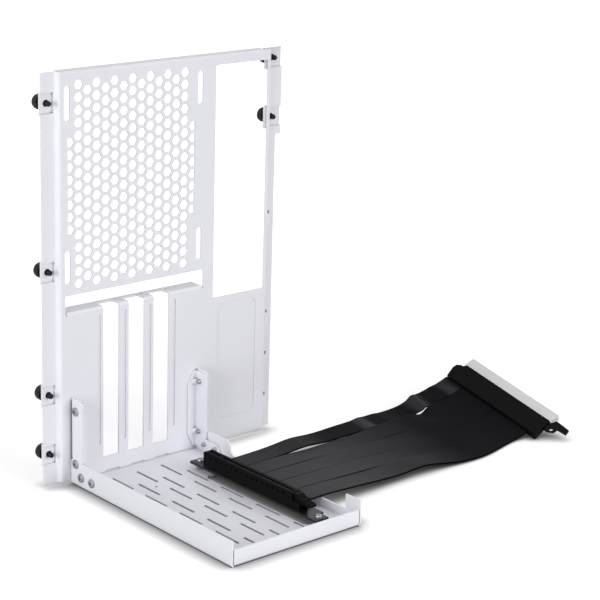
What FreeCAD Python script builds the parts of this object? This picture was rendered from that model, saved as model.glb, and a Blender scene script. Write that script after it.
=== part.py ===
import FreeCAD, Part
import math
import os

V = FreeCAD.Vector

# Sheet metal
SHEET = 1.2
BEND = 1.2
FOLD_ROOM = SHEET / 2 + BEND + 0.4
OVER = 1.0

# Rear panel, seen from the card side: X to the right, Z up, front face at Y = 0
PANEL_W = 169.6
PANEL_LOW = 2.5
SKIRT_X = (8.6, 109.4)
SKIRT_Z = 1.5
PANEL_TOP = 271.3
LIP_STEP = 3.0
JOGGLE = 1.8
LIP_LEFT = -12.0
LIP_RIGHT = 182.0
LIP_RIGHT_LOW = 177.5
LIP_STEP_Z = 212.0
LIP_CORNER = 8.0
TOP_FLANGE = 8.0
TOP_FLANGE_X = (1.0, 165.0)

# Cut-out for the board's connector shield
IO_LOW = V(123.1, 0, 105.6)
IO_W = 44.45
IO_H = 158.75
IO_CORNER = 1.0

# Fan mounting slots and the honeycomb between them
FAN_X = 57.8
FAN_Z = 198.6
FAN_PITCH = 105.0
FAN_SLOT_H = 21.8
FAN_SLOT_W = 4.3
HEX_FLAT = 5.9
HEX_COLUMN = 6.97
HEX_ROW = 7.99
HEX_X = 14.1
HEX_Z = 138.3
HEX_COLUMNS = 13
HEX_ROWS = 16
HEX_BULGE_Z = 170.3
HEX_BULGE_ROWS = 8
HEX_SIDE = 1.4

# Card window, its shelf and the card slots below
WINDOW_X = (3.2, 114.6)
WINDOW_Z = (116.3, 127.5)
SHELF_END = 113.5
SHELF_DEPTH = 12.0
CARD_PITCH = 20.32
CARD_SLOTS = 3
CARD_X = 32.6
CARD_W = 12.7
CARD_LOW = 12.1
CARD_NOTCH_Y = 8.5
GROOVE_X = 29.7
GROOVE_W = 1.5
GROOVE_Z = (22.0, 110.8)
GROOVE_DEEP = 0.4
TONGUE_GAP_X = 34.7
TONGUE_GAP_W = 11.2
TONGUE_GAP_H = 0.2
SHELF_HOLE_R = 1.6
SHELF_HOLE_Y = 9.6

# Pressed field under the connector cut-out, and lanced bridges in the right joggle
FIELD_X = (127.4, 161.0)
FIELD_Z = (18.0, 101.0)
FIELD_DEEP = 0.5
FIELD_CORNER = 6.0
BRIDGES_Z = (153.5, 82.4, 52.2, 22.0)
BRIDGE_H = 8.0
BRIDGE_X = (-1.2, 2.0)
BRIDGE_RISE = 0.4

# Thumbscrews in open pockets of the two lips
THUMB_LEFT_X = -7.2
THUMB_LEFT_Z = (252.0, 144.3, 62.5, 22.3)
THUMB_RIGHT_X = 174.2
THUMB_RIGHT_Z = (264.7, 224.4)
POCKET_H = 13.0
POCKET_DEEP = 1.5
POCKET_SIDE = 2.2
THUMB_SHAFT_R = 1.75
THUMB_NECK_R = 1.5
THUMB_HOLE_R = 2.2
THUMB_HEAD_R = 5.0
THUMB_HEAD_Y = (8.5, 14.5)
THUMB_COLLAR_R = 3.4
THUMB_TIP_Y = 0.5
THUMB_FLATS = 20

# Tray under the card, underside at Z = 0, running forward along -Y
TRAY_X = (7.0, 111.0)
TRAY_FRONT = -165.5
WALL_H = 17.0
FRONT_WALL_H = 11.0
LOW_WALL_H = 7.2
LOW_WALL_Y = (-152.0, -42.0)
LOW_WALL_RISE_Y = -32.0
EAR_DEPTH = 12.5
EAR_TOP = 59.0
EAR_CORNER = 5.0
EAR_GAP = 1.5
VENT_W = 2.0
VENT_L = 23.0
VENT_PITCH = V(20.1, 36.0, 0)
VENT_COLUMNS = (11.4, 19.4)
VENT_ROWS = (-11.4, -29.5)
VENTS_EACH_WAY = 4
FLOOR_WINDOW_X = (81.8, 96.0)
FLOOR_WINDOW_Y = (-146.5, -46.0)
FLOOR_WINDOW_CORNER = 2.5
PILOT_HOLE = V(46.0, -40.0, 0)
SIDE_SCREWS = ((-5.5, 51.0), (-5.5, 15.0), (-11.5, 7.3), (-23.2, 7.3))
SIDE_SCREW_R = 1.5
SIDE_HEAD_R = 3.0
SIDE_HEAD_H = 1.3
HEAD_FLATS = 12
SHANK_FLATS = 8
COLLAR_FLATS = 12
SHANK_PLAY = 0.05
SIDE_SCREW_LENGTH = 4.6

# Angle brackets between tray ears and panel
BRACKET_Z = (4.0, 57.5)
BRACKET_SIDE = 13.0
BRACKET_BACK = 7.6
BRACKET_CHAMFER = V(4.5, 0, 9.0)
FOOT_END_Y = -27.5
FOOT_TOP = 11.0
FOOT_CORNER = 3.0
GUSSETS_Z = (50.5, 15.0)
GUSSET_REACH = 4.0
GUSSET_ROOT = 1.0
GUSSET_W = 3.0

# Riser board and card connector
BOARD_X = (83.3, 96.4)
BOARD_TAB_X = 93.6
BOARD_Y = (-154.5, -28.0)
BOARD_BODY_Y = (-146.5, -38.0)
BOARD_TOP = 6.5
BOARD_T = 1.6
BOARD_SCREW_X = 88.6
BOARD_SCREWS_Y = (-32.2, -150.8)
STANDOFF_R = 2.6
BOARD_SCREW_R = 1.4
BOARD_HEAD_R = 2.4
BOARD_HEAD_H = 1.7
SLOT_X = (83.2, 90.8)
SLOT_Y = (-131.3, -42.3)
SLOT_TOP = 17.6
SLOT_MOUTH = 1.8
SLOT_CHAMBER = 3.0
SLOT_LIP = 1.7
SLOT_FLOOR = 9.0
CONTACT_PITCH = 1.0
CONTACT_GROUPS = (11, 71)
KEY_GAP = 3.0
CONTACT_W = 0.5
CONTACT_T = 0.5
CONTACT_H = 6.0
NOTCH_PITCH = 5.2
NOTCHES = 15
NOTCH_SIZE = V(0.6, 1.5, 2.4)
NOTCH_DROP = 1.6
SLOT_RIM = 0.6
SLOT_END_ROOM = 0.7

# Card retention latch at the connector's front end
LATCH_PIVOT = V(0, -135.0, 9.7)
LATCH_PIN_R = 1.0
LATCH_PLAY = 0.3
LATCH_HOLE_PLAY = 0.06
LATCH_GAP = 0.7
LATCH_TOP = 17.4
LATCH_HEEL_R = 2.4
LATCH_SHOULDER = V(0, -138.2, 15.4)
LATCH_TAB_Z = (12.0, 13.6)
LATCH_UNDER = V(0, -139.2, 12.3)
LATCH_BACK_Y = -137.6
LATCH_GROOVES = 3
LATCH_GROOVE_PITCH = 1.8
LATCH_GROOVE_W = 0.6
LATCH_GROOVE_DEEP = 0.35
LATCH_TIP_Y = -147.0
CHEEK_T = 0.8
CHEEK_END_Y = -138.2
CHEEK_TOP = 12.4

# Ribbon: five flat strips from the clamp on the board to the edge plug
STRIPS = 5
STRIP_W = 16.4
STRIP_PITCH = 16.8
STRIP_T = 1.2
CLAMP_X = (91.3, 99.0)
CLAMP_TOP = 10.6
CLAMP_RIM = 0.8
CLAMP_Y = (-131.5, -44.5)
RIBBON_START_Y = -88.05

# Edge plug: ribbon end, tilted about its length and across it
PLUG_X = 312.3
PLUG_Y = -81.8
PLUG_ROLL = 13.0
PLUG_PITCH = 25.0
PLUG_TOP = 3.0
PLUG_LOW = 2.5
PLUG_EDGE = -0.7
PLUG_FRONT = 49.0
PLUG_BOARD_T = 1.6
PLUG_EAR_HOLE_R = 1.5
PLUG_EARS = ((-41.9, 11.2), (52.4, 11.7))
TONGUE_U = (-38.0, 47.0)
TONGUE_V = 23.6
COVER_U = (-39.0, 48.0)
COVER_V = (16.0, 24.3)
COVER_HALF = 2.2
COVER_RIM = 0.5
PLUG_RIM = 0.6
PLUG_SHELL = (
    (-41.0, PLUG_EDGE),
    (PLUG_FRONT, PLUG_EDGE),
    (47.7, 8.7),
    (47.0, 16.0),
    (-37.0, 16.0),
    (-39.5, 13.0),
    (-43.5, 6.5),
)
PLUG_OUTLINE = (
    (-41.0, PLUG_EDGE),
    (PLUG_FRONT, PLUG_EDGE),
    (47.7, 8.7),
    (51.0, 8.6),
    (55.4, 11.0),
    (55.6, 14.6),
    (63.4, 15.1),
    (62.5, 19.3),
    (50.1, 20.1),
    (48.4, 15.6),
    (47.0, 15.6),
    (47.0, 23.6),
    (-38.0, 23.6),
    (-38.0, 13.6),
    (-41.9, 14.6),
    (-45.0, 12.4),
    (-45.2, 8.8),
)

ROLL = math.radians(PLUG_ROLL)
PITCH = math.radians(PLUG_PITCH)
PLUG_U = V(0, -math.cos(ROLL), -math.sin(ROLL))
PLUG_RISE = V(math.cos(PITCH), 0, math.sin(PITCH))
PLUG_V = (PLUG_RISE - PLUG_U * PLUG_RISE.dot(PLUG_U)).normalize()
PLUG_W = PLUG_U.cross(PLUG_V)
PLUG_Z = -PLUG_FRONT * PLUG_U.z - PLUG_EDGE * PLUG_V.z + PLUG_LOW * PLUG_W.z
PLUG_ORIGIN = V(PLUG_X, PLUG_Y, PLUG_Z)

# Ribbon heights above the table: distance along it, then the rear and the front edge
RIBBON_STATIONS = (
    (88.0, 8.5, 8.5),
    (116.0, 8.6, 8.5),
    (148.0, 9.3, 6.1),
    (182.0, 8.7, 4.6),
    (216.0, 8.9, 3.0),
    (248.0, 11.4, 1.3),
    (276.0, 13.6, 1.1),
)
RIBBON_LAST_RUN = 12.0
RIBBON_INTO_PLUG = 4.0
WIDE = 300.0

# The frame's origin: middle of the footprint of panel and tray, at the tray's underside
ORIGIN = V((THUMB_LEFT_X - THUMB_HEAD_R + LIP_RIGHT) / 2, (TRAY_FRONT + THUMB_HEAD_Y[1]) / 2, 0)


def block(low, high):
    """Box between two opposite corners."""
    size = high - low
    return Part.makeBox(size.x, size.y, size.z, low)


def rod(start, end, radius):
    """Round rod between two points."""
    return Part.makeCylinder(radius, (end - start).Length, start, end - start)


def plate(outline, direction):
    """Solid swept from a closed outline of points and edges."""
    return Part.Face(Part.Wire(outline)).extrude(direction)


def polygon(points):
    """Edges of a closed outline through the points."""
    return [Part.LineSegment(a, b).toShape() for a, b in zip(points, points[1:] + points[:1])]


def ring(centre, axis, radius, count):
    """Corner points of a regular polygon about an axis."""
    turn = FreeCAD.Rotation(V(0, 0, 1), axis)
    steps = [2 * math.pi * (i + 0.5) / count for i in range(count)]
    return [centre + turn.multVec(V(radius * math.cos(t), radius * math.sin(t), 0)) for t in steps]


def prism(start, end, radius, count):
    """Straight bar with a regular polygon for its section."""
    return plate(polygon(ring(start, (end - start).normalize(), radius, count)), end - start)


def cut_cornered(low, high, corner):
    """Block through the tray's floor with its four corners cut off at 45 degrees."""
    z = low.z
    points = [
        V(low.x + corner, low.y, z),
        V(high.x - corner, low.y, z),
        V(high.x, low.y + corner, z),
        V(high.x, high.y - corner, z),
        V(high.x - corner, high.y, z),
        V(low.x + corner, high.y, z),
        V(low.x, high.y - corner, z),
        V(low.x, low.y + corner, z),
    ]
    return plate(polygon(points), V(0, 0, high.z - z))


def upright_slot(x, z, width, height, y_low, y_high):
    """Round-ended upright slot through the panel's plane."""
    r = width / 2
    half = height / 2 - r
    middle = block(V(x - r, y_low, z - half), V(x + r, y_high, z + half))
    ends = [rod(V(x, y_low, z + s * half), V(x, y_high, z + s * half), r) for s in (-1, 1)]
    return middle.fuse(ends).removeSplitter()


def rounded_window(low, high, radius):
    """Block through the panel's plane with its four upright-face corners rounded."""
    body = block(low, high)
    edges = [e for e in body.Edges if abs(e.tangentAt(e.FirstParameter).y) > 0.9]
    return body.makeFillet(radius, edges)


def left_of(direction):
    """Unit vector a quarter turn to the left in the drawing plane."""
    return V(-direction.y, direction.x, 0)


def offset_line(corners, radii, offset):
    """Straight and arc edges of a bent line, moved sideways by the offset."""
    edges = []
    first = (corners[1] - corners[0]).normalize()
    start = corners[0] + left_of(first) * offset
    for before, corner, after, radius in zip(corners, corners[1:], corners[2:], radii):
        a = (corner - before).normalize()
        b = (after - corner).normalize()
        side = math.copysign(1.0, a.cross(b).z)
        reach = radius * math.tan(a.getAngle(b) / 2)
        centre = corner - a * reach + left_of(a) * (side * radius)
        out = (corner - centre).normalize()
        arc_start = corner - a * reach + left_of(a) * offset
        arc_end = corner + b * reach + left_of(b) * offset
        middle = centre + out * (radius - side * offset)
        edges.append(Part.LineSegment(start, arc_start).toShape())
        edges.append(Part.Arc(arc_start, middle, arc_end).toShape())
        start = arc_end
    last = (corners[-1] - corners[-2]).normalize()
    edges.append(Part.LineSegment(start, corners[-1] + left_of(last) * offset).toShape())
    return edges


def bent_sheet(corners, radii, thickness, width, frame):
    """Sheet whose middle line turns each corner on an arc, as wide as given."""
    half = thickness / 2
    near = offset_line(corners, radii, half)
    far = offset_line(corners, radii, -half)
    caps = [
        Part.LineSegment(near[-1].Vertexes[-1].Point, far[-1].Vertexes[-1].Point).toShape(),
        Part.LineSegment(far[0].Vertexes[0].Point, near[0].Vertexes[0].Point).toShape(),
    ]
    outline = Part.Wire(Part.__sortEdges__(near + far + caps))
    sheet = Part.Face(outline).extrude(V(0, 0, width))
    sheet.Placement = frame
    return sheet


def frame_of(origin, along, up):
    """Placement whose drawing plane holds the two directions."""
    return FreeCAD.Placement(origin, FreeCAD.Rotation(along, up, along.cross(up), "XYZ"))


def folded(points, width, frame):
    """Sheet-metal section with the standard bend at every corner."""
    corners = [V(a, b, 0) for a, b in points]
    return bent_sheet(corners, [BEND] * (len(corners) - 2), SHEET, width, frame)


def honeycomb():
    """Flat-topped hexagon holes, with a short extra column on each side cut off straight."""
    radius = HEX_FLAT / math.sqrt(3)
    turns = [math.radians(60 * i) for i in range(6)]
    cell = [V(radius * math.cos(turn), 0, radius * math.sin(turn)) for turn in turns]
    hexagon = plate(polygon(cell), V(0, SHEET + 2 * OVER, 0))
    holes = []
    for column in range(HEX_COLUMNS):
        odd = column % 2
        for row in range(HEX_ROWS if odd else HEX_ROWS + 1):
            z = HEX_Z + HEX_ROW * (row if odd else row - 0.5)
            holes.append(hexagon.translated(V(HEX_X + HEX_COLUMN * column, -OVER, z)))
    ends = (HEX_X - HEX_COLUMN, HEX_X + HEX_COLUMN * HEX_COLUMNS)
    limit = block(V(ends[0] - HEX_SIDE, -2 * OVER, HEX_Z), V(ends[1] + HEX_SIDE, 3 * OVER, PANEL_TOP))
    for x in ends:
        clipped = hexagon.translated(V(x, -OVER, HEX_BULGE_Z)).common(limit)
        for row in range(HEX_BULGE_ROWS):
            holes.append(clipped.translated(V(0, 0, HEX_ROW * row)))
    return holes


def card_cuts():
    """Card slots with their notches in the shelf, stiffening grooves and tongue gaps."""
    cuts = []
    for i in range(CARD_SLOTS):
        x = CARD_X + CARD_PITCH * i
        cuts.append(block(V(x, -OVER, CARD_LOW), V(x + CARD_W, CARD_NOTCH_Y, WINDOW_Z[0] + OVER)))
        hole = V(x + (CARD_W + CARD_PITCH) / 2, SHELF_HOLE_Y, WINDOW_Z[0] - SHEET - OVER)
        cuts.append(rod(hole, hole + V(0, 0, SHEET + 2 * OVER), SHELF_HOLE_R))
        gap = TONGUE_GAP_X + CARD_PITCH * i
        cuts.append(block(V(gap, -OVER, 0), V(gap + TONGUE_GAP_W, SHEET + OVER, PANEL_LOW + TONGUE_GAP_H)))
    for i in range(CARD_SLOTS + 1):
        x = GROOVE_X + CARD_PITCH * i
        low = V(x - GROOVE_W / 2, -OVER, GROOVE_Z[0])
        cuts.append(block(low, V(x + GROOVE_W / 2, GROOVE_DEEP, GROOVE_Z[1])))
    return cuts


def pocket(x, z, edge):
    """Raised back of an open pocket in a lip, and the hollow cut from its front."""
    inner = x + math.copysign(THUMB_COLLAR_R + POCKET_SIDE, -edge)
    outer = LIP_LEFT if edge < 0 else LIP_RIGHT
    limits = sorted((inner, outer))
    half = POCKET_H / 2
    top = min(z + half + SHEET, PANEL_TOP)
    back = block(V(limits[0], LIP_STEP, z - half - SHEET), V(limits[1], LIP_STEP + POCKET_DEEP + SHEET, top))
    hollow_low, hollow_high = sorted((inner + math.copysign(SHEET, edge), outer + math.copysign(OVER, edge)))
    hollow = block(
        V(hollow_low, LIP_STEP - OVER, z - half),
        V(hollow_high, LIP_STEP + POCKET_DEEP, z + half),
    )
    hole = rod(V(x, 0, z), V(x, LIP_STEP + POCKET_DEEP + SHEET + OVER, z), THUMB_HOLE_R)
    return back, hollow, hole


def rear_panel():
    """Folded back panel with lips, flanges, card slots, fan field and connector cut-out."""
    mid = SHEET / 2
    section = [
        (LIP_LEFT, LIP_STEP + mid),
        (-JOGGLE, LIP_STEP + mid),
        (0, mid),
        (PANEL_W, mid),
        (PANEL_W + JOGGLE, LIP_STEP + mid),
        (LIP_RIGHT, LIP_STEP + mid),
    ]
    upright = frame_of(V(0, 0, PANEL_LOW), V(1, 0, 0), V(0, 1, 0))
    panel = folded(section, PANEL_TOP - PANEL_LOW, upright)

    flange_x = TOP_FLANGE_X
    top_cut = block(
        V(flange_x[0], -OVER, PANEL_TOP - FOLD_ROOM),
        V(flange_x[1], SHEET + OVER, PANEL_TOP + OVER),
    )
    window = rounded_window(
        V(WINDOW_X[0], -OVER, WINDOW_Z[0] - FOLD_ROOM),
        V(WINDOW_X[1], SHEET + OVER, WINDOW_Z[1]),
        BEND,
    )
    io_cut = rounded_window(
        V(IO_LOW.x, -OVER, IO_LOW.z),
        V(IO_LOW.x + IO_W, SHEET + OVER, IO_LOW.z + IO_H),
        IO_CORNER,
    )
    side_cut = block(V(LIP_RIGHT_LOW, 0, 0), V(LIP_RIGHT + OVER, LIP_STEP + SHEET + OVER, LIP_STEP_Z))
    corner = V(LIP_RIGHT - LIP_CORNER, 0, PANEL_TOP - LIP_CORNER)
    corner_cut = block(corner, V(LIP_RIGHT + OVER, LIP_STEP + SHEET + OVER, PANEL_TOP + OVER)).cut(
        rod(corner, corner + V(0, LIP_STEP + SHEET + OVER, 0), LIP_CORNER)
    )
    panel = panel.cut([top_cut, window, io_cut, side_cut, corner_cut])

    flange = folded(
        [(mid, PANEL_TOP - FOLD_ROOM), (mid, PANEL_TOP - mid), (TOP_FLANGE, PANEL_TOP - mid)],
        flange_x[1] - flange_x[0],
        frame_of(V(flange_x[0], 0, 0), V(0, 1, 0), V(0, 0, 1)),
    )
    shelf = folded(
        [(mid, WINDOW_Z[0] - FOLD_ROOM), (mid, WINDOW_Z[0] - mid), (SHELF_DEPTH, WINDOW_Z[0] - mid)],
        SHELF_END - WINDOW_X[0] - BEND,
        frame_of(V(WINDOW_X[0] + BEND, 0, 0), V(0, 1, 0), V(0, 0, 1)),
    )
    skirt = block(V(SKIRT_X[0], 0, SKIRT_Z), V(SKIRT_X[1], SHEET, PANEL_LOW + OVER))
    added = [flange, shelf, skirt]
    cuts = card_cuts()
    for z in BRIDGES_Z:
        x = PANEL_W + JOGGLE / 2
        low = V(x + BRIDGE_X[0], BRIDGE_RISE, z - BRIDGE_H / 2)
        added.append(block(low, V(x + BRIDGE_X[1], LIP_STEP + BRIDGE_RISE, z + BRIDGE_H / 2)))
    for x, zs, edge in ((THUMB_LEFT_X, THUMB_LEFT_Z, -1), (THUMB_RIGHT_X, THUMB_RIGHT_Z, 1)):
        for z in zs:
            back, hollow, hole = pocket(x, z, edge)
            added.append(back)
            cuts.extend((hollow, hole))
    field_low = V(FIELD_X[0], -OVER, FIELD_Z[0])
    field_high = V(FIELD_X[1], FIELD_DEEP, FIELD_Z[1])
    cuts.append(rounded_window(field_low, field_high, FIELD_CORNER))
    added.append(rounded_window(field_low + V(0, OVER + SHEET, 0), field_high + V(0, SHEET, 0), FIELD_CORNER))
    for sx in (-1, 1):
        for sz in (-1, 1):
            x = FAN_X + sx * FAN_PITCH / 2
            z = FAN_Z + sz * FAN_PITCH / 2
            cuts.append(upright_slot(x, z, FAN_SLOT_W, FAN_SLOT_H, -OVER, SHEET + OVER))
    cuts.extend(honeycomb())
    return panel.fuse(added).cut(cuts).removeSplitter()


def wall_profile(x):
    """Side view of the tray's right wall: full height, low stretch, then a post."""
    rear, low_rear = LOW_WALL_RISE_Y, LOW_WALL_Y[1]
    top = V(x, rear, WALL_H)
    foot = V(x, low_rear, LOW_WALL_H)
    middle = (top + foot) * 0.5
    run, rise = (rear - low_rear) / 2, (WALL_H - LOW_WALL_H) / 2
    radius = (run ** 2 + rise ** 2) / (2 * rise)
    turn = math.atan2(run, radius - rise) / 2
    high = top - V(0, radius * math.sin(turn), radius * (1 - math.cos(turn)))
    deep = foot + V(0, radius * math.sin(turn), radius * (1 - math.cos(turn)))
    over = WALL_H + OVER
    return [
        Part.Arc(top, high, middle).toShape(),
        Part.Arc(middle, deep, foot).toShape(),
        Part.LineSegment(foot, V(x, LOW_WALL_Y[0], LOW_WALL_H)).toShape(),
        Part.LineSegment(V(x, LOW_WALL_Y[0], LOW_WALL_H), V(x, LOW_WALL_Y[0], over)).toShape(),
        Part.LineSegment(V(x, LOW_WALL_Y[0], over), V(x, rear, over)).toShape(),
        Part.LineSegment(V(x, rear, over), top).toShape(),
    ]


def tray_ear(x_low):
    """Upright ear that continues a side wall at the panel, with a round front corner."""
    front, rear = -EAR_DEPTH, -EAR_GAP
    r = EAR_CORNER
    bend = r * (1 - math.sqrt(0.5))
    low, top = WALL_H - OVER, EAR_TOP
    a = V(x_low, front, top - r)
    b = V(x_low, front + r, top)
    outline = [
        Part.LineSegment(V(x_low, rear, low), V(x_low, front, low)).toShape(),
        Part.LineSegment(V(x_low, front, low), a).toShape(),
        Part.Arc(a, V(x_low, front + bend, top - bend), b).toShape(),
        Part.LineSegment(b, V(x_low, rear, top)).toShape(),
        Part.LineSegment(V(x_low, rear, top), V(x_low, rear, low)).toShape(),
    ]
    return plate(outline, V(SHEET, 0, 0))


def floor_vents():
    """Staggered long slots through the tray's floor, and the opening under the board."""
    cuts = []
    r = VENT_W / 2
    for start_x, start_y in zip(VENT_COLUMNS, VENT_ROWS):
        for row in range(VENTS_EACH_WAY):
            for column in range(VENTS_EACH_WAY):
                x = start_x + VENT_PITCH.x * column
                y = start_y - VENT_PITCH.y * row
                low = V(x - r, y - VENT_L, -OVER)
                cuts.append(block(low, V(x + r, y, SHEET + OVER)))
    low = V(FLOOR_WINDOW_X[0], FLOOR_WINDOW_Y[0], -OVER)
    high = V(FLOOR_WINDOW_X[1], FLOOR_WINDOW_Y[1], SHEET + OVER)
    cuts.append(cut_cornered(low, high, FLOOR_WINDOW_CORNER))
    cuts.append(rod(PILOT_HOLE - V(0, 0, OVER), PILOT_HOLE + V(0, 0, SHEET + OVER), VENT_W / 2))
    return cuts


def screw_axes(side):
    """Points and inward direction of one side's screws; side is -1 left, +1 right."""
    outer = TRAY_X[0] if side < 0 else TRAY_X[1]
    return [V(outer, y, z) for y, z in SIDE_SCREWS], V(-side, 0, 0)


def gpu_tray():
    """Folded tray with ears, a stepped right wall, a front wall and a vented floor."""
    mid = SHEET / 2
    left, right = TRAY_X[0] + mid, TRAY_X[1] - mid
    section = [(left, WALL_H), (left, mid), (right, mid), (right, WALL_H)]
    tray = folded(section, -TRAY_FRONT, frame_of(V(0, 0, 0), V(1, 0, 0), V(0, 0, 1)))
    inner = V(TRAY_X[0] + SHEET + mid, TRAY_FRONT - OVER, -OVER)
    front_cut = block(inner, V(TRAY_X[1] - SHEET - mid, TRAY_FRONT + FOLD_ROOM, WALL_H))
    low_cut = plate(wall_profile(TRAY_X[1] - SHEET - OVER), V(SHEET + 2 * OVER, 0, 0))
    tray = tray.cut([front_cut, low_cut])
    front_wall = folded(
        [(TRAY_FRONT + FOLD_ROOM, mid), (TRAY_FRONT + mid, mid), (TRAY_FRONT + mid, FRONT_WALL_H)],
        TRAY_X[1] - TRAY_X[0] - 2 * SHEET - 2 * mid,
        frame_of(V(inner.x, 0, 0), V(0, 1, 0), V(0, 0, 1)),
    )
    tray = tray.fuse([front_wall, tray_ear(TRAY_X[0]), tray_ear(TRAY_X[1] - SHEET)])
    cuts = floor_vents()
    for side in (-1, 1):
        points, inward = screw_axes(side)
        cuts.extend(rod(p - inward, p + inward * (SHEET + OVER), SIDE_SCREW_R) for p in points)
    return tray.cut(cuts).removeSplitter()


def angle_bracket(side):
    """Angle between a tray ear and the panel, with two gussets and a foot along the wall."""
    mid = SHEET / 2
    wall = TRAY_X[0] + SHEET if side < 0 else TRAY_X[1] - SHEET
    inward = -side
    leg_x = wall + inward * mid
    toe_x = wall + inward * BRACKET_BACK
    height = BRACKET_Z[1] - BRACKET_Z[0]
    angle = folded(
        [(leg_x, -BRACKET_SIDE), (leg_x, -mid), (toe_x, -mid)],
        height,
        frame_of(V(0, 0, BRACKET_Z[0]), V(1, 0, 0), V(0, 1, 0)),
    )
    gussets = []
    for z in GUSSETS_Z:
        root = V(wall + inward * GUSSET_ROOT, -GUSSET_ROOT, z - GUSSET_W / 2)
        side_end = V(wall + inward * mid, -SHEET - GUSSET_REACH, root.z)
        back_end = V(wall + inward * (SHEET + GUSSET_REACH), -mid, root.z)
        gussets.append(plate(polygon([root, side_end, back_end]), V(0, 0, GUSSET_W)))
    top = V(toe_x, -SHEET - OVER, BRACKET_Z[1])
    across = V(inward * BRACKET_CHAMFER.x, 0, 0)
    drop = V(0, 0, BRACKET_CHAMFER.z)
    cut_points = [top, top - drop, top - across]
    low = V(toe_x, -SHEET - OVER, BRACKET_Z[0])
    low_points = [low, low + drop, low - across]
    through = V(0, SHEET + 2 * OVER, 0)
    cuts = [plate(polygon(cut_points), through), plate(polygon(low_points), through)]
    points, towards = screw_axes(side)
    cuts.extend(rod(p, p + towards * (3 * SHEET), SIDE_SCREW_R) for p in points)
    foot_x = sorted((wall, wall + inward * SHEET))
    top_corner = FOOT_END_Y + FOOT_CORNER
    low_z = BRACKET_Z[0]
    outline = [
        V(foot_x[0], OVER - BRACKET_SIDE, low_z),
        V(foot_x[0], FOOT_END_Y, low_z),
        V(foot_x[0], FOOT_END_Y, FOOT_TOP - FOOT_CORNER),
        V(foot_x[0], top_corner, FOOT_TOP),
        V(foot_x[0], OVER - BRACKET_SIDE, FOOT_TOP),
    ]
    foot = plate(polygon(outline), V(foot_x[1] - foot_x[0], 0, 0))
    return angle.fuse(gussets + [foot]).cut(cuts).removeSplitter()


def side_screws(side):
    """Four pan-head screws through a tray wall, heads outside."""
    points, inward = screw_axes(side)
    screws = []
    for p in points:
        head = prism(p, p - inward * SIDE_HEAD_H, SIDE_HEAD_R, HEAD_FLATS)
        shank = prism(p, p + inward * SIDE_SCREW_LENGTH, SIDE_SCREW_R - SHANK_PLAY, SHANK_FLATS)
        screws.append(head.fuse(shank).removeSplitter())
    return Part.Compound(screws)


def thumbscrews(x, zs):
    """Thumbscrews: faceted grip, collar on the pocket, neck in its hole and round shaft."""
    floor = LIP_STEP + POCKET_DEEP
    seat = floor + SHEET
    front, back = THUMB_HEAD_Y
    shaft = rod(V(0, THUMB_TIP_Y, 0), V(0, floor, 0), THUMB_SHAFT_R)
    neck = prism(V(0, floor, 0), V(0, seat, 0), THUMB_NECK_R, SHANK_FLATS)
    collar = prism(V(0, seat, 0), V(0, front, 0), THUMB_COLLAR_R, COLLAR_FLATS)
    grip = prism(V(0, front, 0), V(0, back, 0), THUMB_HEAD_R, THUMB_FLATS)
    screw = shaft.fuse([neck, collar, grip]).removeSplitter()
    return Part.Compound([screw.translated(V(x, 0, z)) for z in zs])


def riser_board():
    """Circuit board on the standoffs, narrower at its two screw tabs."""
    low = BOARD_TOP - BOARD_T
    body = block(V(BOARD_X[0], BOARD_BODY_Y[0], low), V(BOARD_X[1], BOARD_BODY_Y[1], BOARD_TOP))
    tabs = block(V(BOARD_X[0], BOARD_Y[0], low), V(BOARD_TAB_X, BOARD_Y[1], BOARD_TOP))
    holes = [
        rod(V(BOARD_SCREW_X, y, 0), V(BOARD_SCREW_X, y, BOARD_TOP + OVER), BOARD_SCREW_R)
        for y in BOARD_SCREWS_Y
    ]
    return body.fuse(tabs).cut(holes).removeSplitter()


def board_standoffs():
    """Two hexagonal standoffs on the tray's floor."""
    posts = []
    for y in BOARD_SCREWS_Y:
        foot = V(BOARD_SCREW_X, y, SHEET)
        top = V(BOARD_SCREW_X, y, BOARD_TOP - BOARD_T)
        posts.append(prism(foot, top, STANDOFF_R, 6).cut(rod(foot, top, BOARD_SCREW_R)))
    return Part.Compound(posts)


def board_screws():
    """Two pan-head screws that hold the board down on its standoffs."""
    screws = []
    for y in BOARD_SCREWS_Y:
        seat = V(BOARD_SCREW_X, y, BOARD_TOP)
        foot = V(BOARD_SCREW_X, y, SHEET)
        head = prism(seat, seat + V(0, 0, BOARD_HEAD_H), BOARD_HEAD_R, HEAD_FLATS)
        shank = prism(seat, foot, BOARD_SCREW_R - SHANK_PLAY, SHANK_FLATS)
        screws.append(head.fuse(shank).removeSplitter())
    return Part.Compound(screws)


def slot_middle():
    """Middle of the card connector across its width."""
    return (SLOT_X[0] + SLOT_X[1]) / 2


def contact_groups():
    """Y of every contact in its two groups, from the rear end forward."""
    span = (CONTACT_GROUPS[0] - 1 + CONTACT_GROUPS[1] - 1) * CONTACT_PITCH + KEY_GAP
    y = (SLOT_Y[0] + SLOT_Y[1]) / 2 + span / 2
    groups = []
    for count in CONTACT_GROUPS:
        groups.append([y - CONTACT_PITCH * i for i in range(count)])
        y = groups[-1][-1] - KEY_GAP
    return groups


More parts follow.
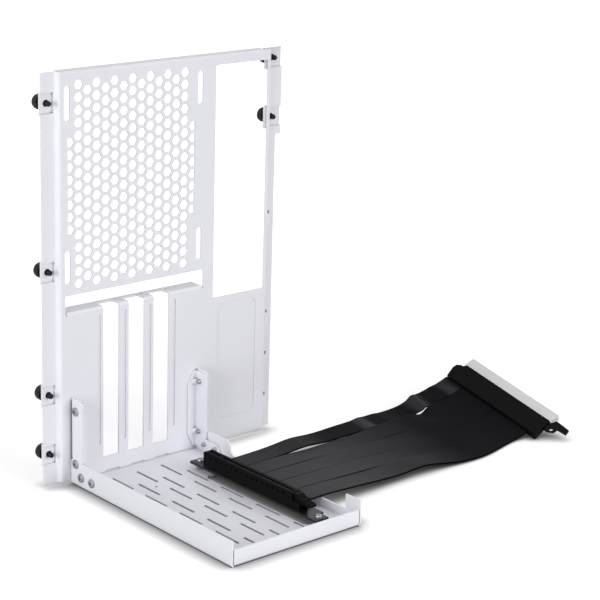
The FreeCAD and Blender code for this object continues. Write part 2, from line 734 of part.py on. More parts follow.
def slot_housing():
    """Card connector body: slot with a key, side notches, and cheeks for the latch."""
    middle = slot_middle()
    body = block(V(SLOT_X[0], SLOT_Y[0], BOARD_TOP), V(SLOT_X[1], SLOT_Y[1], SLOT_TOP))
    top_edges = [e for e in body.Edges if min(v.Point.z for v in e.Vertexes) > SLOT_TOP - OVER]
    body = body.makeChamfer(SLOT_RIM, top_edges)
    cheeks = [
        block(V(x, CHEEK_END_Y, BOARD_TOP), V(x + CHEEK_T, SLOT_Y[0], CHEEK_TOP))
        for x in (SLOT_X[0], SLOT_X[1] - CHEEK_T)
    ]
    cuts = []
    for group in contact_groups():
        low, high = group[-1] - SLOT_END_ROOM, group[0] + SLOT_END_ROOM
        half = SLOT_CHAMBER / 2
        lip = SLOT_TOP - SLOT_LIP
        cuts.append(block(V(middle - half, low, SLOT_FLOOR), V(middle + half, high, lip)))
        half = SLOT_MOUTH / 2
        cuts.append(block(V(middle - half, low, SLOT_FLOOR), V(middle + half, high, SLOT_TOP + OVER)))
    first = (SLOT_Y[0] + SLOT_Y[1]) / 2 + NOTCH_PITCH * (NOTCHES - 1) / 2
    for i in range(NOTCHES):
        y = first - NOTCH_PITCH * i
        for x in (SLOT_X[0] - OVER + NOTCH_SIZE.x, SLOT_X[1] - NOTCH_SIZE.x):
            low = V(x, y - NOTCH_SIZE.y / 2, SLOT_TOP - NOTCH_DROP - NOTCH_SIZE.z)
            cuts.append(block(low, low + V(OVER, NOTCH_SIZE.y, NOTCH_SIZE.z)))
    pivot = LATCH_PIVOT
    hole_start = V(SLOT_X[0] - OVER, pivot.y, pivot.z)
    hole_end = V(SLOT_X[1] + OVER, pivot.y, pivot.z)
    cuts.append(rod(hole_start, hole_end, LATCH_PIN_R + LATCH_HOLE_PLAY))
    return body.fuse(cheeks).cut(cuts).removeSplitter()


def slot_contacts():
    """Rows of spring blades on both sides of the chamber, each group's row as one bar."""
    middle = slot_middle()
    half = SLOT_CHAMBER / 2
    bars = []
    for group in contact_groups():
        for x in (middle - half, middle + half - CONTACT_T):
            low = V(x, group[-1] - CONTACT_W / 2, SLOT_FLOOR)
            high = V(x + CONTACT_T, group[0] + CONTACT_W / 2, SLOT_FLOOR + CONTACT_H)
            bars.append(block(low, high))
    return Part.Compound(bars)


def slot_latch():
    """Lever on two trunnions, with a hook towards the card and a finger tab."""
    x = SLOT_X[0] + CHEEK_T + LATCH_PLAY
    width = SLOT_X[1] - CHEEK_T - LATCH_PLAY - x
    pivot = LATCH_PIVOT
    rear = SLOT_Y[0] - LATCH_GAP
    tab_low, tab_high = LATCH_TAB_Z
    points = [
        V(x, rear, pivot.z),
        V(x, rear, LATCH_TOP),
        V(x, pivot.y, LATCH_TOP),
        V(x, LATCH_SHOULDER.y, LATCH_SHOULDER.z),
        V(x, LATCH_TIP_Y, tab_high),
        V(x, LATCH_TIP_Y, tab_low),
        V(x, LATCH_UNDER.y, LATCH_UNDER.z),
        V(x, LATCH_BACK_Y, pivot.z),
    ]
    edges = [Part.LineSegment(a, b).toShape() for a, b in zip(points, points[1:])]
    edges.append(Part.Arc(points[-1], V(x, pivot.y, pivot.z - LATCH_HEEL_R), points[0]).toShape())
    lever = plate(edges, V(width, 0, 0))
    slope = (LATCH_SHOULDER.z - tab_high) / (LATCH_SHOULDER.y - LATCH_TIP_Y)
    grooves = []
    for i in range(LATCH_GROOVES):
        step = LATCH_GROOVE_PITCH * (i + 0.7)
        groove = V(x - OVER, LATCH_TIP_Y + step, tab_high + slope * step - LATCH_GROOVE_DEEP)
        grooves.append(block(groove, groove + V(width + 2 * OVER, LATCH_GROOVE_W, OVER)))
    pin = rod(V(SLOT_X[0], pivot.y, pivot.z), V(SLOT_X[1], pivot.y, pivot.z), LATCH_PIN_R)
    return lever.cut(grooves).fuse(pin).removeSplitter()


def ribbon_clamp():
    """Moulded bar that holds the strips' ends on the board."""
    bar = block(V(CLAMP_X[0], CLAMP_Y[0], BOARD_TOP), V(CLAMP_X[1], CLAMP_Y[1], CLAMP_TOP))
    edges = [e for e in bar.Edges if min(v.Point.z for v in e.Vertexes) > CLAMP_TOP - 0.1]
    return bar.makeChamfer(CLAMP_RIM, edges)


def plug_point(u, v, w=0.0):
    """Point of the plug from its own length, finger and height directions."""
    return PLUG_ORIGIN + PLUG_U * u + PLUG_V * v + PLUG_W * w


def plug_plate(outline, w_low, w_high):
    """Flat piece of the plug between two heights."""
    points = [plug_point(u, v, w_low) for u, v in outline]
    return plate(polygon(points), PLUG_W * (w_high - w_low))


def plug_housing(side):
    """Half shell of the plug; side is +1 for the upper half, -1 for the lower."""
    half = PLUG_BOARD_T / 2
    low, high = (half, PLUG_TOP) if side > 0 else (-PLUG_LOW, -half)
    body = plug_plate(PLUG_SHELL, low, high)
    outer = high if side > 0 else low
    rim = [
        e for e in body.Edges
        if all(abs((v.Point - PLUG_ORIGIN).dot(PLUG_W) - outer) < 0.01 for v in e.Vertexes)
        and any(abs((v.Point - PLUG_ORIGIN).dot(PLUG_V) - PLUG_EDGE) > 0.01 for v in e.Vertexes)
    ]
    return body.makeChamfer(PLUG_RIM, rim)


def plug_board():
    """Plug's circuit board: finger tongue, two drilled ears and the end hook."""
    half = PLUG_BOARD_T / 2
    board = plug_plate(PLUG_OUTLINE, -half, half)
    holes = [
        rod(plug_point(u, v, -half - OVER), plug_point(u, v, half + OVER), PLUG_EAR_HOLE_R)
        for u, v in PLUG_EARS
    ]
    return board.cut(holes)


def finger_cover():
    """Protective sleeve over the finger tongue."""
    u, v = COVER_U, COVER_V
    body = plug_plate([(u[0], v[0]), (u[1], v[0]), (u[1], v[1]), (u[0], v[1])], -COVER_HALF, COVER_HALF)
    far_edges = [
        e for e in body.Edges
        if all((p.Point - PLUG_ORIGIN).dot(PLUG_V) > v[1] - 0.1 for p in e.Vertexes)
    ]
    body = body.makeChamfer(COVER_RIM, far_edges)
    half = PLUG_BOARD_T / 2
    a, b = TONGUE_U
    tongue = [(a, v[0] - OVER), (b, v[0] - OVER), (b, TONGUE_V), (a, TONGUE_V)]
    return body.cut(plug_plate(tongue, -half, half))


def strip_route(index):
    """Corner points of one strip's middle line in its upright plane, along and up."""
    share = (index + 0.5) / STRIPS
    u = (index - (STRIPS - 1) / 2) * STRIP_PITCH
    end = plug_point(u, PLUG_EDGE)
    corners = [V(s, rear + (front - rear) * share, 0) for s, rear, front in RIBBON_STATIONS]
    rise = V(math.cos(PITCH), math.sin(PITCH), 0)
    at_plug = V(end.x, end.z, 0)
    corners.append(at_plug - rise * RIBBON_LAST_RUN)
    corners.append(at_plug + rise * RIBBON_INTO_PLUG)
    return corners


def bend_radii(corners):
    """Radius at each corner: 0.45 of the shorter run over the tangent of half the turn."""
    radii = []
    for before, corner, after in zip(corners, corners[1:], corners[2:]):
        a, b = corner - before, after - corner
        radii.append(0.45 * min(a.Length, b.Length) / math.tan(a.getAngle(b) / 2))
    return radii


def ribbon_strip(index):
    """One flat strip of the ribbon, cut square at the clamp and at the plug."""
    corners = strip_route(index)
    radii = bend_radii(corners)
    u = (index - (STRIPS - 1) / 2) * STRIP_PITCH
    plug_y = plug_point(u, PLUG_EDGE).y
    start_y = RIBBON_START_Y - u
    drift = V(PLUG_X - CLAMP_X[1], plug_y - start_y, 0).normalize()
    frame = frame_of(V(CLAMP_X[1], start_y + STRIP_W / 2, 0) - drift * CLAMP_X[1], drift, V(0, 0, 1))
    strip = bent_sheet(corners, radii, STRIP_T, STRIP_W, frame)
    clamp_side = block(V(CLAMP_X[1] - WIDE, -WIDE, -WIDE), V(CLAMP_X[1], WIDE, WIDE))
    square = [(-WIDE, PLUG_EDGE), (WIDE, PLUG_EDGE), (WIDE, WIDE), (-WIDE, WIDE)]
    beyond = plug_plate(square, -WIDE, WIDE)
    strip = strip.cut([clamp_side, beyond])
    length = strip.Volume / (STRIP_W * STRIP_T)
    print("strip", index + 1, "length", round(length, 1), "radii", [round(r) for r in radii])
    return strip


def save(name, shape):
    """Write one sub-part in the part's own frame."""
    moved = shape.translated(ORIGIN * -1)
    solids = moved.Solids
    if not solids or not all(s.isValid() for s in solids):
        raise ValueError(name + " is not a valid solid")
    result = solids[0] if len(solids) == 1 else Part.Compound(solids)
    result.exportStep("parts/" + name + ".step")
    box = result.BoundBox
    ends = (box.XMin, box.XMax, box.YMin, box.YMax, box.ZMin, box.ZMax)
    print(name, len(solids), [round(v, 2) for v in ends])


def main():
    """Build and write every sub-part."""
    os.makedirs("parts", exist_ok=True)
    save("rear_panel", rear_panel())
    save("gpu_tray", gpu_tray())
    save("left_angle_bracket", angle_bracket(-1))
    save("right_angle_bracket", angle_bracket(1))
    save("left_side_screws", side_screws(-1))
    save("right_side_screws", side_screws(1))
    save("left_thumbscrews", thumbscrews(THUMB_LEFT_X, THUMB_LEFT_Z))
    save("right_thumbscrews", thumbscrews(THUMB_RIGHT_X, THUMB_RIGHT_Z))
    save("riser_board", riser_board())
    save("board_standoffs", board_standoffs())
    save("board_screws", board_screws())
    save("slot_housing", slot_housing())
    save("slot_contacts", slot_contacts())
    save("slot_latch", slot_latch())
    save("ribbon_clamp", ribbon_clamp())
    for index in range(STRIPS):
        save("ribbon_strip_" + str(index + 1), ribbon_strip(index))
    save("plug_housing_top", plug_housing(1))
    save("plug_housing_bottom", plug_housing(-1))
    save("plug_board", plug_board())
    save("finger_cover", finger_cover())


main()
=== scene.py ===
"""Looks of a folded bracket that holds a graphics card upright, with its riser connector and ribbon lead."""

import logging
import math
from dataclasses import dataclass
from enum import Enum
from typing import Callable, Iterable, Optional, Sequence

import bmesh
import bpy
from mathutils import Matrix, Vector


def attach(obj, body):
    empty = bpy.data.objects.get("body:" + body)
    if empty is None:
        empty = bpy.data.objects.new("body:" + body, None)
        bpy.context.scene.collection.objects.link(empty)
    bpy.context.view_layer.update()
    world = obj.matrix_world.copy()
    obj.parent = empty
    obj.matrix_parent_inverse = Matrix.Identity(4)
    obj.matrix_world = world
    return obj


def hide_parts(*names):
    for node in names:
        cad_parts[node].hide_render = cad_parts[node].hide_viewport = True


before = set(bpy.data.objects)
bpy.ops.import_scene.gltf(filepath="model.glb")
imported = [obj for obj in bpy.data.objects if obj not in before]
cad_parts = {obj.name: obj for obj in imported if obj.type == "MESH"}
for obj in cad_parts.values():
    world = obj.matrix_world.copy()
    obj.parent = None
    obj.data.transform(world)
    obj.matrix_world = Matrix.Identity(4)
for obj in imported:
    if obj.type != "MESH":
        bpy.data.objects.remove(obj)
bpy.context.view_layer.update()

LOG = logging.getLogger("bracket")
MM = 0.001
IMAGE_PX = 600
BASE = "base"
# Origin of the row's frame in the panel's own millimetres: the middle of the footprint of panel and tray.
FRAME_SHIFT = Vector((84.9, -75.5, 0.0))
# Turned points closer than this are one point, in millimetres, and edges that fold more than this are sharp.
WELD_MM = 1e-4
SHARP_DEG = 35.0
# Colour inputs and colour output of a mix, by number, because its other kinds use the same names.
MIX_A = 6
MIX_B = 7
MIX_OUT = 2
# Rays that each shaded spot sends out to find what lies close to it.
SHADE_SAMPLES = 8
WHITE = (1.0, 1.0, 1.0, 1.0)
AXIS_X = Vector((1.0, 0.0, 0.0))
AXIS_Y = Vector((0.0, 1.0, 0.0))
AXIS_Z = Vector((0.0, 0.0, 1.0))


class Side(Enum):
    """Side of the bracket, seen from the tray."""

    LEFT = -1
    RIGHT = 1


class Grain(Enum):
    """Grain of a moulded surface, in millimetres between its peaks, drawn coarser so that it shows."""

    FINE = 0.35
    SPARK = 0.7


def place(x: float, y: float, z: float) -> Vector:
    """Point of the row's frame, in metres, from the panel's own millimetres.

    Args:
        x: Distance to the right of the panel's left fold.
        y: Distance behind the panel's front face.
        z: Height above the table.

    Returns:
        The point in the row's frame.
    """
    return (Vector((x, y, z)) - FRAME_SHIFT) * MM


def linear(code: str) -> tuple[float, float, float, float]:
    """Linear colour of an sRGB hex value.

    Args:
        code: Six hex digits.

    Returns:
        Red, green and blue as linear values, and an alpha of one.
    """
    parts = [int(code[i:i + 2], 16) / 255 for i in (0, 2, 4)]
    values = [p / 12.92 if p <= 0.04045 else ((p + 0.055) / 1.055) ** 2.4 for p in parts]
    return (values[0], values[1], values[2], 1.0)


def add_node(
    tree: bpy.types.NodeTree,
    kind: str,
    settings: Optional[dict] = None,
    links: Optional[dict] = None,
) -> bpy.types.Node:
    """Add one node with its settings and the links into it.

    Args:
        tree: Node tree that takes the node.
        kind: Node type.
        settings: Values by property name, or by input name or number.
        links: Output sockets by input name or number.

    Returns:
        The new node.
    """
    node = tree.nodes.new(kind)
    for key, value in (settings or {}).items():
        if isinstance(key, str) and hasattr(node, key):
            setattr(node, key, value)
        else:
            node.inputs[key].default_value = value
    for key, socket in (links or {}).items():
        tree.links.new(socket, node.inputs[key])
    return node


def new_material(name: str) -> tuple[bpy.types.Material, bpy.types.NodeTree]:
    """Empty node material.

    Args:
        name: Name of the finish.

    Returns:
        The material and its node tree.
    """
    material = bpy.data.materials.new(name)
    material.use_nodes = True
    material.node_tree.nodes.clear()
    return material, material.node_tree


def per_metre(size_mm: float) -> float:
    """Return a pattern's scale from its real size in millimetres."""
    return 1 / (size_mm * MM)


def seen_by_lens(tree: bpy.types.NodeTree) -> bpy.types.NodeSocket:
    """Tell what the lens sees, straight, mirrored or through glass, from what only lights the object.

    Args:
        tree: Node tree of the floor or of the surround.

    Returns:
        A value of one for the lens and of zero for light.
    """
    rays = add_node(tree, "ShaderNodeLightPath").outputs
    seen = rays["Is Camera Ray"]
    for way in ("Is Glossy Ray", "Is Transmission Ray"):
        either = add_node(tree, "ShaderNodeMath", {"operation": "MAXIMUM"}, {0: seen, 1: rays[way]})
        seen = either.outputs[0]
    return seen


def close_material(tree: bpy.types.NodeTree, shader: bpy.types.Node) -> None:
    """Link a shader to the material's output.

    Args:
        tree: Node tree of the material.
        shader: Node whose first output is the surface.
    """
    add_node(tree, "ShaderNodeOutputMaterial", links={"Surface": shader.outputs[0]})


@dataclass(frozen=True)
class PowderCoat:
    """Powder coat on folded steel: an even satin white with a faint orange peel, and painted shade that greys
    it deep in its slots and corners.
    """

    name: str = "powder_coated_steel"
    colour: str = "E6E6EC"
    shade: str = "DFDFE6"
    painted_slot_shade: str = "6C6C72"
    peel_mm: float = 1.1
    peel_deep_mm: float = 0.05
    cloud_mm: float = 45.0
    slot_mm: float = 3.0
    # Shares of open air at which the painted shade is full and at which it is gone.
    hidden: float = 0.1
    free: float = 0.7
    roughness: tuple[float, float] = (0.36, 0.5)

    def build(self) -> bpy.types.Material:
        """Return the coat's material."""
        material, tree = new_material(self.name)
        spot = add_node(tree, "ShaderNodeTexCoord").outputs["Object"]
        size = {"Scale": per_metre(self.peel_mm), "Detail": 2.0}
        peel = add_node(tree, "ShaderNodeTexNoise", size, {"Vector": spot}).outputs["Fac"]
        size = {"Scale": per_metre(self.cloud_mm), "Detail": 3.0}
        cloud = add_node(tree, "ShaderNodeTexNoise", size, {"Vector": spot}).outputs["Fac"]
        colours = {"data_type": "RGBA", MIX_A: linear(self.colour), MIX_B: linear(self.shade)}
        tint = add_node(tree, "ShaderNodeMix", colours, {"Factor": cloud}).outputs[MIX_OUT]
        # Painted shade: the coat turns grey where little open air lies close by, in slots, corners and under
        # parts.
        reach = {"samples": SHADE_SAMPLES, "Distance": self.slot_mm * MM}
        air = add_node(tree, "ShaderNodeAmbientOcclusion", reach).outputs["AO"]
        limits = {"From Min": self.hidden, "From Max": self.free}
        clear = add_node(tree, "ShaderNodeMapRange", limits, {"Value": air}).outputs[0]
        colours = {"data_type": "RGBA", MIX_A: linear(self.painted_slot_shade)}
        coat = add_node(tree, "ShaderNodeMix", colours, {"Factor": clear, MIX_B: tint})
        # The noise lies almost wholly between these two values.
        limits = {"From Min": 0.3, "From Max": 0.7, "To Min": self.roughness[0], "To Max": self.roughness[1]}
        rough = add_node(tree, "ShaderNodeMapRange", limits, {"Value": peel})
        relief = {"Strength": 0.12, "Distance": self.peel_deep_mm * MM}
        bump = add_node(tree, "ShaderNodeBump", relief, {"Height": peel})
        shader = add_node(
            tree,
            "ShaderNodeBsdfPrincipled",
            {"IOR": 1.5},
            {"Base Color": coat.outputs[MIX_OUT], "Roughness": rough.outputs[0], "Normal": bump.outputs[0]},
        )
        close_material(tree, shader)
        return material


@dataclass(frozen=True)
class PlatedMetal:
    """Plated or blackened metal: a fine grain, drawn coarser so that it shows, blurs its shine a little."""

    name: str
    colour: str
    metallic: float
    roughness: float
    specular: float = 0.5
    grain_mm: float = 0.25
    grain_deep_mm: float = 0.02
    # Shares of its roughness where it is smoothest and roughest.
    smoothest: float = 0.8
    roughest: float = 1.25

    def build(self) -> bpy.types.Material:
        """Return the metal's material."""
        material, tree = new_material(self.name)
        spot = add_node(tree, "ShaderNodeTexCoord").outputs["Object"]
        size = {"Scale": per_metre(self.grain_mm), "Detail": 4.0}
        grain = add_node(tree, "ShaderNodeTexNoise", size, {"Vector": spot}).outputs["Fac"]
        limits = {"To Min": self.roughness * self.smoothest, "To Max": self.roughness * self.roughest}
        rough = add_node(tree, "ShaderNodeMapRange", limits, {"Value": grain})
        relief = {"Strength": 0.2, "Distance": self.grain_deep_mm * MM}
        bump = add_node(tree, "ShaderNodeBump", relief, {"Height": grain})
        shader = add_node(
            tree,
            "ShaderNodeBsdfPrincipled",
            {
                "Base Color": linear(self.colour),
                "Metallic": self.metallic,
                "Specular IOR Level": self.specular,
            },
            {"Roughness": rough.outputs[0], "Normal": bump.outputs[0]},
        )
        close_material(tree, shader)
        return material


@dataclass(frozen=True)
class MouldedPlastic:
    """Injection-moulded plastic: a spark-eroded grain that breaks up its soft shine."""

    name: str
    colour: str
    shade: str
    roughness: float = 0.45
    specular: float = 0.5
    grain: Grain = Grain.FINE
    grain_deep_mm: float = 0.03
    # Grains across one cloud of shine that the melt's flow left.
    flow_grains: float = 25.0
    smoothest: float = 0.85
    roughest: float = 1.2

    def build(self) -> bpy.types.Material:
        """Return the plastic's material."""
        material, tree = new_material(self.name)
        spot = add_node(tree, "ShaderNodeTexCoord").outputs["Object"]
        scale = per_metre(self.grain.value)
        size = {"Scale": scale, "Detail": 3.0}
        grain = add_node(tree, "ShaderNodeTexNoise", size, {"Vector": spot}).outputs["Fac"]
        size = {"Scale": scale / self.flow_grains, "Detail": 2.0}
        flow = add_node(tree, "ShaderNodeTexNoise", size, {"Vector": spot}).outputs["Fac"]
        colours = {"data_type": "RGBA", MIX_A: linear(self.colour), MIX_B: linear(self.shade)}
        tint = add_node(tree, "ShaderNodeMix", colours, {"Factor": flow})
        limits = {"To Min": self.roughness * self.smoothest, "To Max": self.roughness * self.roughest}
        rough = add_node(tree, "ShaderNodeMapRange", limits, {"Value": flow})
        relief = {"Strength": 0.25, "Distance": self.grain_deep_mm * MM}
        bump = add_node(tree, "ShaderNodeBump", relief, {"Height": grain})
        shader = add_node(
            tree,
            "ShaderNodeBsdfPrincipled",
            {"IOR": 1.5, "Specular IOR Level": self.specular},
            {"Base Color": tint.outputs[MIX_OUT], "Roughness": rough.outputs[0], "Normal": bump.outputs[0]},
        )
        close_material(tree, shader)
        return material


@dataclass(frozen=True)
class SolderMask:
    """Black solder mask over copper: its tracks stand proud as ridges, drawn coarser so that they show."""

    name: str = "black_solder_mask"
    colour: str = "17191A"
    specular: float = 0.3
    roughness: float = 0.3
    track_mm: float = 1.0
    track_deep_mm: float = 0.04
    # Width of one band of the wave pattern at a scale of one.
    band: float = 0.314

    def build(self) -> bpy.types.Material:
        """Return the board's material."""
        material, tree = new_material(self.name)
        spot = add_node(tree, "ShaderNodeTexCoord").outputs["Object"]
        turned = add_node(
            tree, "ShaderNodeMapping", {"Rotation": (0.0, 0.0, math.radians(90))}, {"Vector": spot}
        )
        tracks = add_node(
            tree,
            "ShaderNodeTexWave",
            {"Scale": self.band * per_metre(self.track_mm), "Distortion": 0.6, "Detail": 1.0},
            {"Vector": turned.outputs[0]},
        )
        relief = {"Strength": 0.3, "Distance": self.track_deep_mm * MM}
        bump = add_node(tree, "ShaderNodeBump", relief, {"Height": tracks.outputs["Fac"]})
        shader = add_node(
            tree,
            "ShaderNodeBsdfPrincipled",
            {
                "Base Color": linear(self.colour),
                "Roughness": self.roughness,
                "IOR": 1.5,
                "Specular IOR Level": self.specular,
            },
            {"Normal": bump.outputs[0]},
        )
        close_material(tree, shader)
        return material


@dataclass(frozen=True)
class RibbonJacket:
    """Extruded black jacket over flat cores: satin, ribbed, and paler and shinier where it leaves the board.
    """

    name: str = "ribbon_jacket"
    colour: str = "111114"
    pale_colour: str = "2B2B2F"
    core_mm: float = 1.27
    core_deep_mm: float = 0.06
    band_mm: float = 26.0
    sheen: float = 0.12
    roughness: tuple[float, float] = (0.4, 0.56)
    # Distances along the strip in metres: where the paling fades out, and middle and half width of paler
    # marks at creases.
    fades: tuple[float, float] = (0.05, 0.15)
    least_paling: float = 0.1
    marks: tuple[tuple[float, float], ...] = ()
    mark_depth: float = 0.9

    def build(self) -> bpy.types.Material:
        """Return the jacket's material, which reads the strip's own UV map in metres."""
        material, tree = new_material(self.name)
        uv = add_node(tree, "ShaderNodeUVMap", {"uv_map": "along"}).outputs[0]
        across, along = add_node(tree, "ShaderNodeSeparateXYZ", links={0: uv}).outputs[:2]
        turns = 2 * math.pi * per_metre(self.core_mm)
        phase = add_node(tree, "ShaderNodeMath", {"operation": "MULTIPLY", 1: turns}, {0: across})
        ribs = add_node(tree, "ShaderNodeMath", {"operation": "COSINE"}, {0: phase.outputs[0]})
        size = {"Scale": per_metre(self.band_mm), "Detail": 4.0}
        bands = add_node(tree, "ShaderNodeTexNoise", size, {"Vector": uv}).outputs["Fac"]
        paling = add_node(
            tree,
            "ShaderNodeMapRange",
            {"From Min": self.fades[0], "From Max": self.fades[1], "To Min": 1.0, "To Max": self.least_paling},
            {"Value": along},
        ).outputs[0]
        for middle, half in self.marks:
            off = add_node(tree, "ShaderNodeMath", {"operation": "SUBTRACT", 1: middle}, {0: along})
            away = add_node(tree, "ShaderNodeMath", {"operation": "ABSOLUTE"}, {0: off.outputs[0]})
            limits = {"From Min": half, "From Max": 0.0, "To Max": self.mark_depth}
            limits["interpolation_type"] = "SMOOTHSTEP"
            mark = add_node(tree, "ShaderNodeMapRange", limits, {"Value": away.outputs[0]}).outputs[0]
            paling = add_node(tree, "ShaderNodeMath", {"operation": "ADD"}, {0: paling, 1: mark}).outputs[0]
        pale_bands = add_node(tree, "ShaderNodeMath", {"operation": "MULTIPLY"}, {0: bands, 1: paling})
        shine = add_node(tree, "ShaderNodeMath", {"operation": "MULTIPLY", 1: self.sheen}, {0: paling})
        colours = {"data_type": "RGBA", MIX_A: linear(self.colour), MIX_B: linear(self.pale_colour)}
        tint = add_node(tree, "ShaderNodeMix", colours, {"Factor": pale_bands.outputs[0]})
        limits = {"To Min": self.roughness[0], "To Max": self.roughness[1]}
        rough = add_node(tree, "ShaderNodeMapRange", limits, {"Value": bands})
        relief = {"Strength": 0.35, "Distance": self.core_deep_mm * MM}
        bump = add_node(tree, "ShaderNodeBump", relief, {"Height": ribs.outputs[0]})
        shader = add_node(
            tree,
            "ShaderNodeBsdfPrincipled",
            {"IOR": 1.5},
            {
                "Base Color": tint.outputs[MIX_OUT],
                "Roughness": rough.outputs[0],
                "Specular IOR Level": shine.outputs[0],
                "Normal": bump.outputs[0],
            },
        )
        close_material(tree, shader)
        return material


@dataclass(frozen=True)
class WhiteSweep:
    """Matt white paper sweep: white to the lens, with painted shade where the object stands close over it."""

    name: str = "white_sweep"
    colour: str = "C6C6C8"
    hidden: str = "242426"
    # Its glow under the object, kept lower there as painted shade, and out in the open, and the distances
    # between which it grows, in metres.
    near_lift: float = 0.6
    far_lift: float = 1.0
    near: float = 0.2
    far: float = 0.75
    shade_reach: float = 0.014
    shade_power: float = 1.7

    def build(self) -> bpy.types.Material:
        """Return the floor's material."""
        material, tree = new_material(self.name)
        seen = seen_by_lens(tree)
        spot = add_node(tree, "ShaderNodeTexCoord").outputs["Object"]
        distance = add_node(tree, "ShaderNodeVectorMath", {"operation": "LENGTH"}, {0: spot})
        lift = add_node(
            tree,
            "ShaderNodeMapRange",
            {
                "interpolation_type": "SMOOTHSTEP",
                "From Min": self.near,
                "From Max": self.far,
                "To Min": self.near_lift,
                "To Max": self.far_lift,
            },
            {"Value": distance.outputs["Value"]},
        )
        # Painted shadow: close under the object the glow drops and the colour turns to the hidden grey.
        reach = {"samples": SHADE_SAMPLES, "Distance": self.shade_reach}
        air = add_node(tree, "ShaderNodeAmbientOcclusion", reach).outputs["AO"]
        power = {"operation": "POWER", 1: self.shade_power}
        clear = add_node(tree, "ShaderNodeMath", power, {0: air}).outputs[0]
        times = {"operation": "MULTIPLY"}
        glowing = add_node(tree, "ShaderNodeMath", times, {0: lift.outputs[0], 1: clear})
        strength = add_node(tree, "ShaderNodeMath", times, {0: glowing.outputs[0], 1: seen})
        colours = {"data_type": "RGBA", MIX_A: linear(self.hidden), MIX_B: linear(self.colour)}
        tint = add_node(tree, "ShaderNodeMix", colours, {"Factor": clear})
        paper = add_node(tree, "ShaderNodeBsdfDiffuse", links={"Color": tint.outputs[MIX_OUT]})
        glow = add_node(tree, "ShaderNodeEmission", {"Color": WHITE}, {"Strength": strength.outputs[0]})
        both = add_node(tree, "ShaderNodeAddShader", links={0: paper.outputs[0], 1: glow.outputs[0]})
        close_material(tree, both)
        return material


@dataclass
class Finishes:
    """Every finish of the object, built once."""

    coat: bpy.types.Material
    nickel: bpy.types.Material
    blackened: bpy.types.Material
    nylon: bpy.types.Material
    mask: bpy.types.Material
    dull_mask: bpy.types.Material
    gilt: bpy.types.Material
    jacket: bpy.types.Material
    creased: bpy.types.Material
    jacket_edge: bpy.types.Material
    shaded: bpy.types.Material
    cover: bpy.types.Material

    @classmethod
    def make(cls) -> "Finishes":
        """Return the finishes as materials."""
        creases = ((0.175, 0.011), (0.207, 0.008), (0.12, 0.008))
        return cls(
            coat=PowderCoat().build(),
            nickel=PlatedMetal("nickel_plated_steel", "A4A4AA", 1.0, 0.34).build(),
            blackened=PlatedMetal("blackened_steel", "0E0E10", 0.0, 0.42, 0.2).build(),
            nylon=MouldedPlastic("glass_filled_nylon", "09090A", "0E0E0F", 0.5, 0.04).build(),
            mask=SolderMask().build(),
            dull_mask=SolderMask("dull_solder_mask", "0C0D0E", 0.06).build(),
            gilt=PlatedMetal("gilt_contact_bronze", "D9B25A", 1.0, 0.25).build(),
            jacket=RibbonJacket().build(),
            creased=RibbonJacket("creased_jacket", fades=(0.0, 0.08), marks=creases).build(),
            # Painted shade on the strips' side walls: a darker copy of the jacket, without shine, that draws
            # dark lines between the strips.
            jacket_edge=RibbonJacket("jacket_edge", "050506", "080809", sheen=0.0).build(),
            # Painted shade for the bridges' mouths: a dark grey copy of the coat.
            shaded=PowderCoat(name="shaded_powder_coat", colour="707076", shade="66666C").build(),
            cover=MouldedPlastic("frosted_polythene", "CBCBCA", "BCBCBD", 0.4, 0.4, Grain.SPARK).build(),
        )


def dress(name: str, material: bpy.types.Material) -> None:
    """Give a carried-over node its finish.

    Args:
        name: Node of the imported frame.
        material: Finish of the whole node.
    """
    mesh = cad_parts[name].data
    mesh.materials.clear()
    mesh.materials.append(material)


def finish_piece(
    work: bmesh.types.BMesh,
    name: str,
    materials: Sequence[bpy.types.Material],
    smooth: bool = True,
    body: str = BASE,
) -> bpy.types.Object:
    """Turn a finished mesh into a piece that rides on a body.

    Args:
        work: Mesh in the row's frame, in metres; it is freed.
        name: Name of the piece.
        materials: Its material slots in order.
        smooth: Whether its faces shade smoothly.
        body: Body that carries it.

    Returns:
        The new object.
    """
    bmesh.ops.recalc_face_normals(work, faces=work.faces)
    for face in work.faces:
        face.smooth = smooth
    mesh = bpy.data.meshes.new(name)
    work.to_mesh(mesh)
    work.free()
    for material in materials:
        mesh.materials.append(material)
    if smooth:
        mesh.set_sharp_from_angle(angle=math.radians(SHARP_DEG))
    piece = bpy.data.objects.new(name, mesh)
    bpy.context.scene.collection.objects.link(piece)
    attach(piece, body)
    return piece


def spun(profile: Sequence[tuple[float, float]], steps: int) -> bmesh.types.BMesh:
    """Turned body about the local Z axis.

    Args:
        profile: Radius and height pairs in millimetres, from axis to axis.
        steps: Faces round the body.

    Returns:
        The closed mesh, in millimetres.
    """
    work = bmesh.new()
    line = [work.verts.new((radius, 0.0, height)) for radius, height in profile]
    edges = [work.edges.new(pair) for pair in zip(line, line[1:])]
    bmesh.ops.spin(
        work,
        geom=line + edges,
        cent=(0.0, 0.0, 0.0),
        axis=AXIS_Z,
        angle=2 * math.pi,
        steps=steps,
        use_merge=True,
    )
    bmesh.ops.remove_doubles(work, verts=work.verts, dist=WELD_MM)
    return work


def move_to(work: bmesh.types.BMesh, origin: Vector, axis: Vector) -> None:
    """Stand a millimetre mesh on a point of the row's frame, its Z axis along a direction.

    Args:
        work: Mesh in millimetres about its own origin.
        origin: Point in the row's frame, in metres.
        axis: Direction of the mesh's own Z axis.
    """
    turn = axis.to_track_quat("Z", "Y").to_matrix().to_4x4()
    stand = Matrix.Translation(origin) @ turn @ Matrix.Scale(MM, 4)
    bmesh.ops.transform(work, matrix=stand, verts=work.verts)


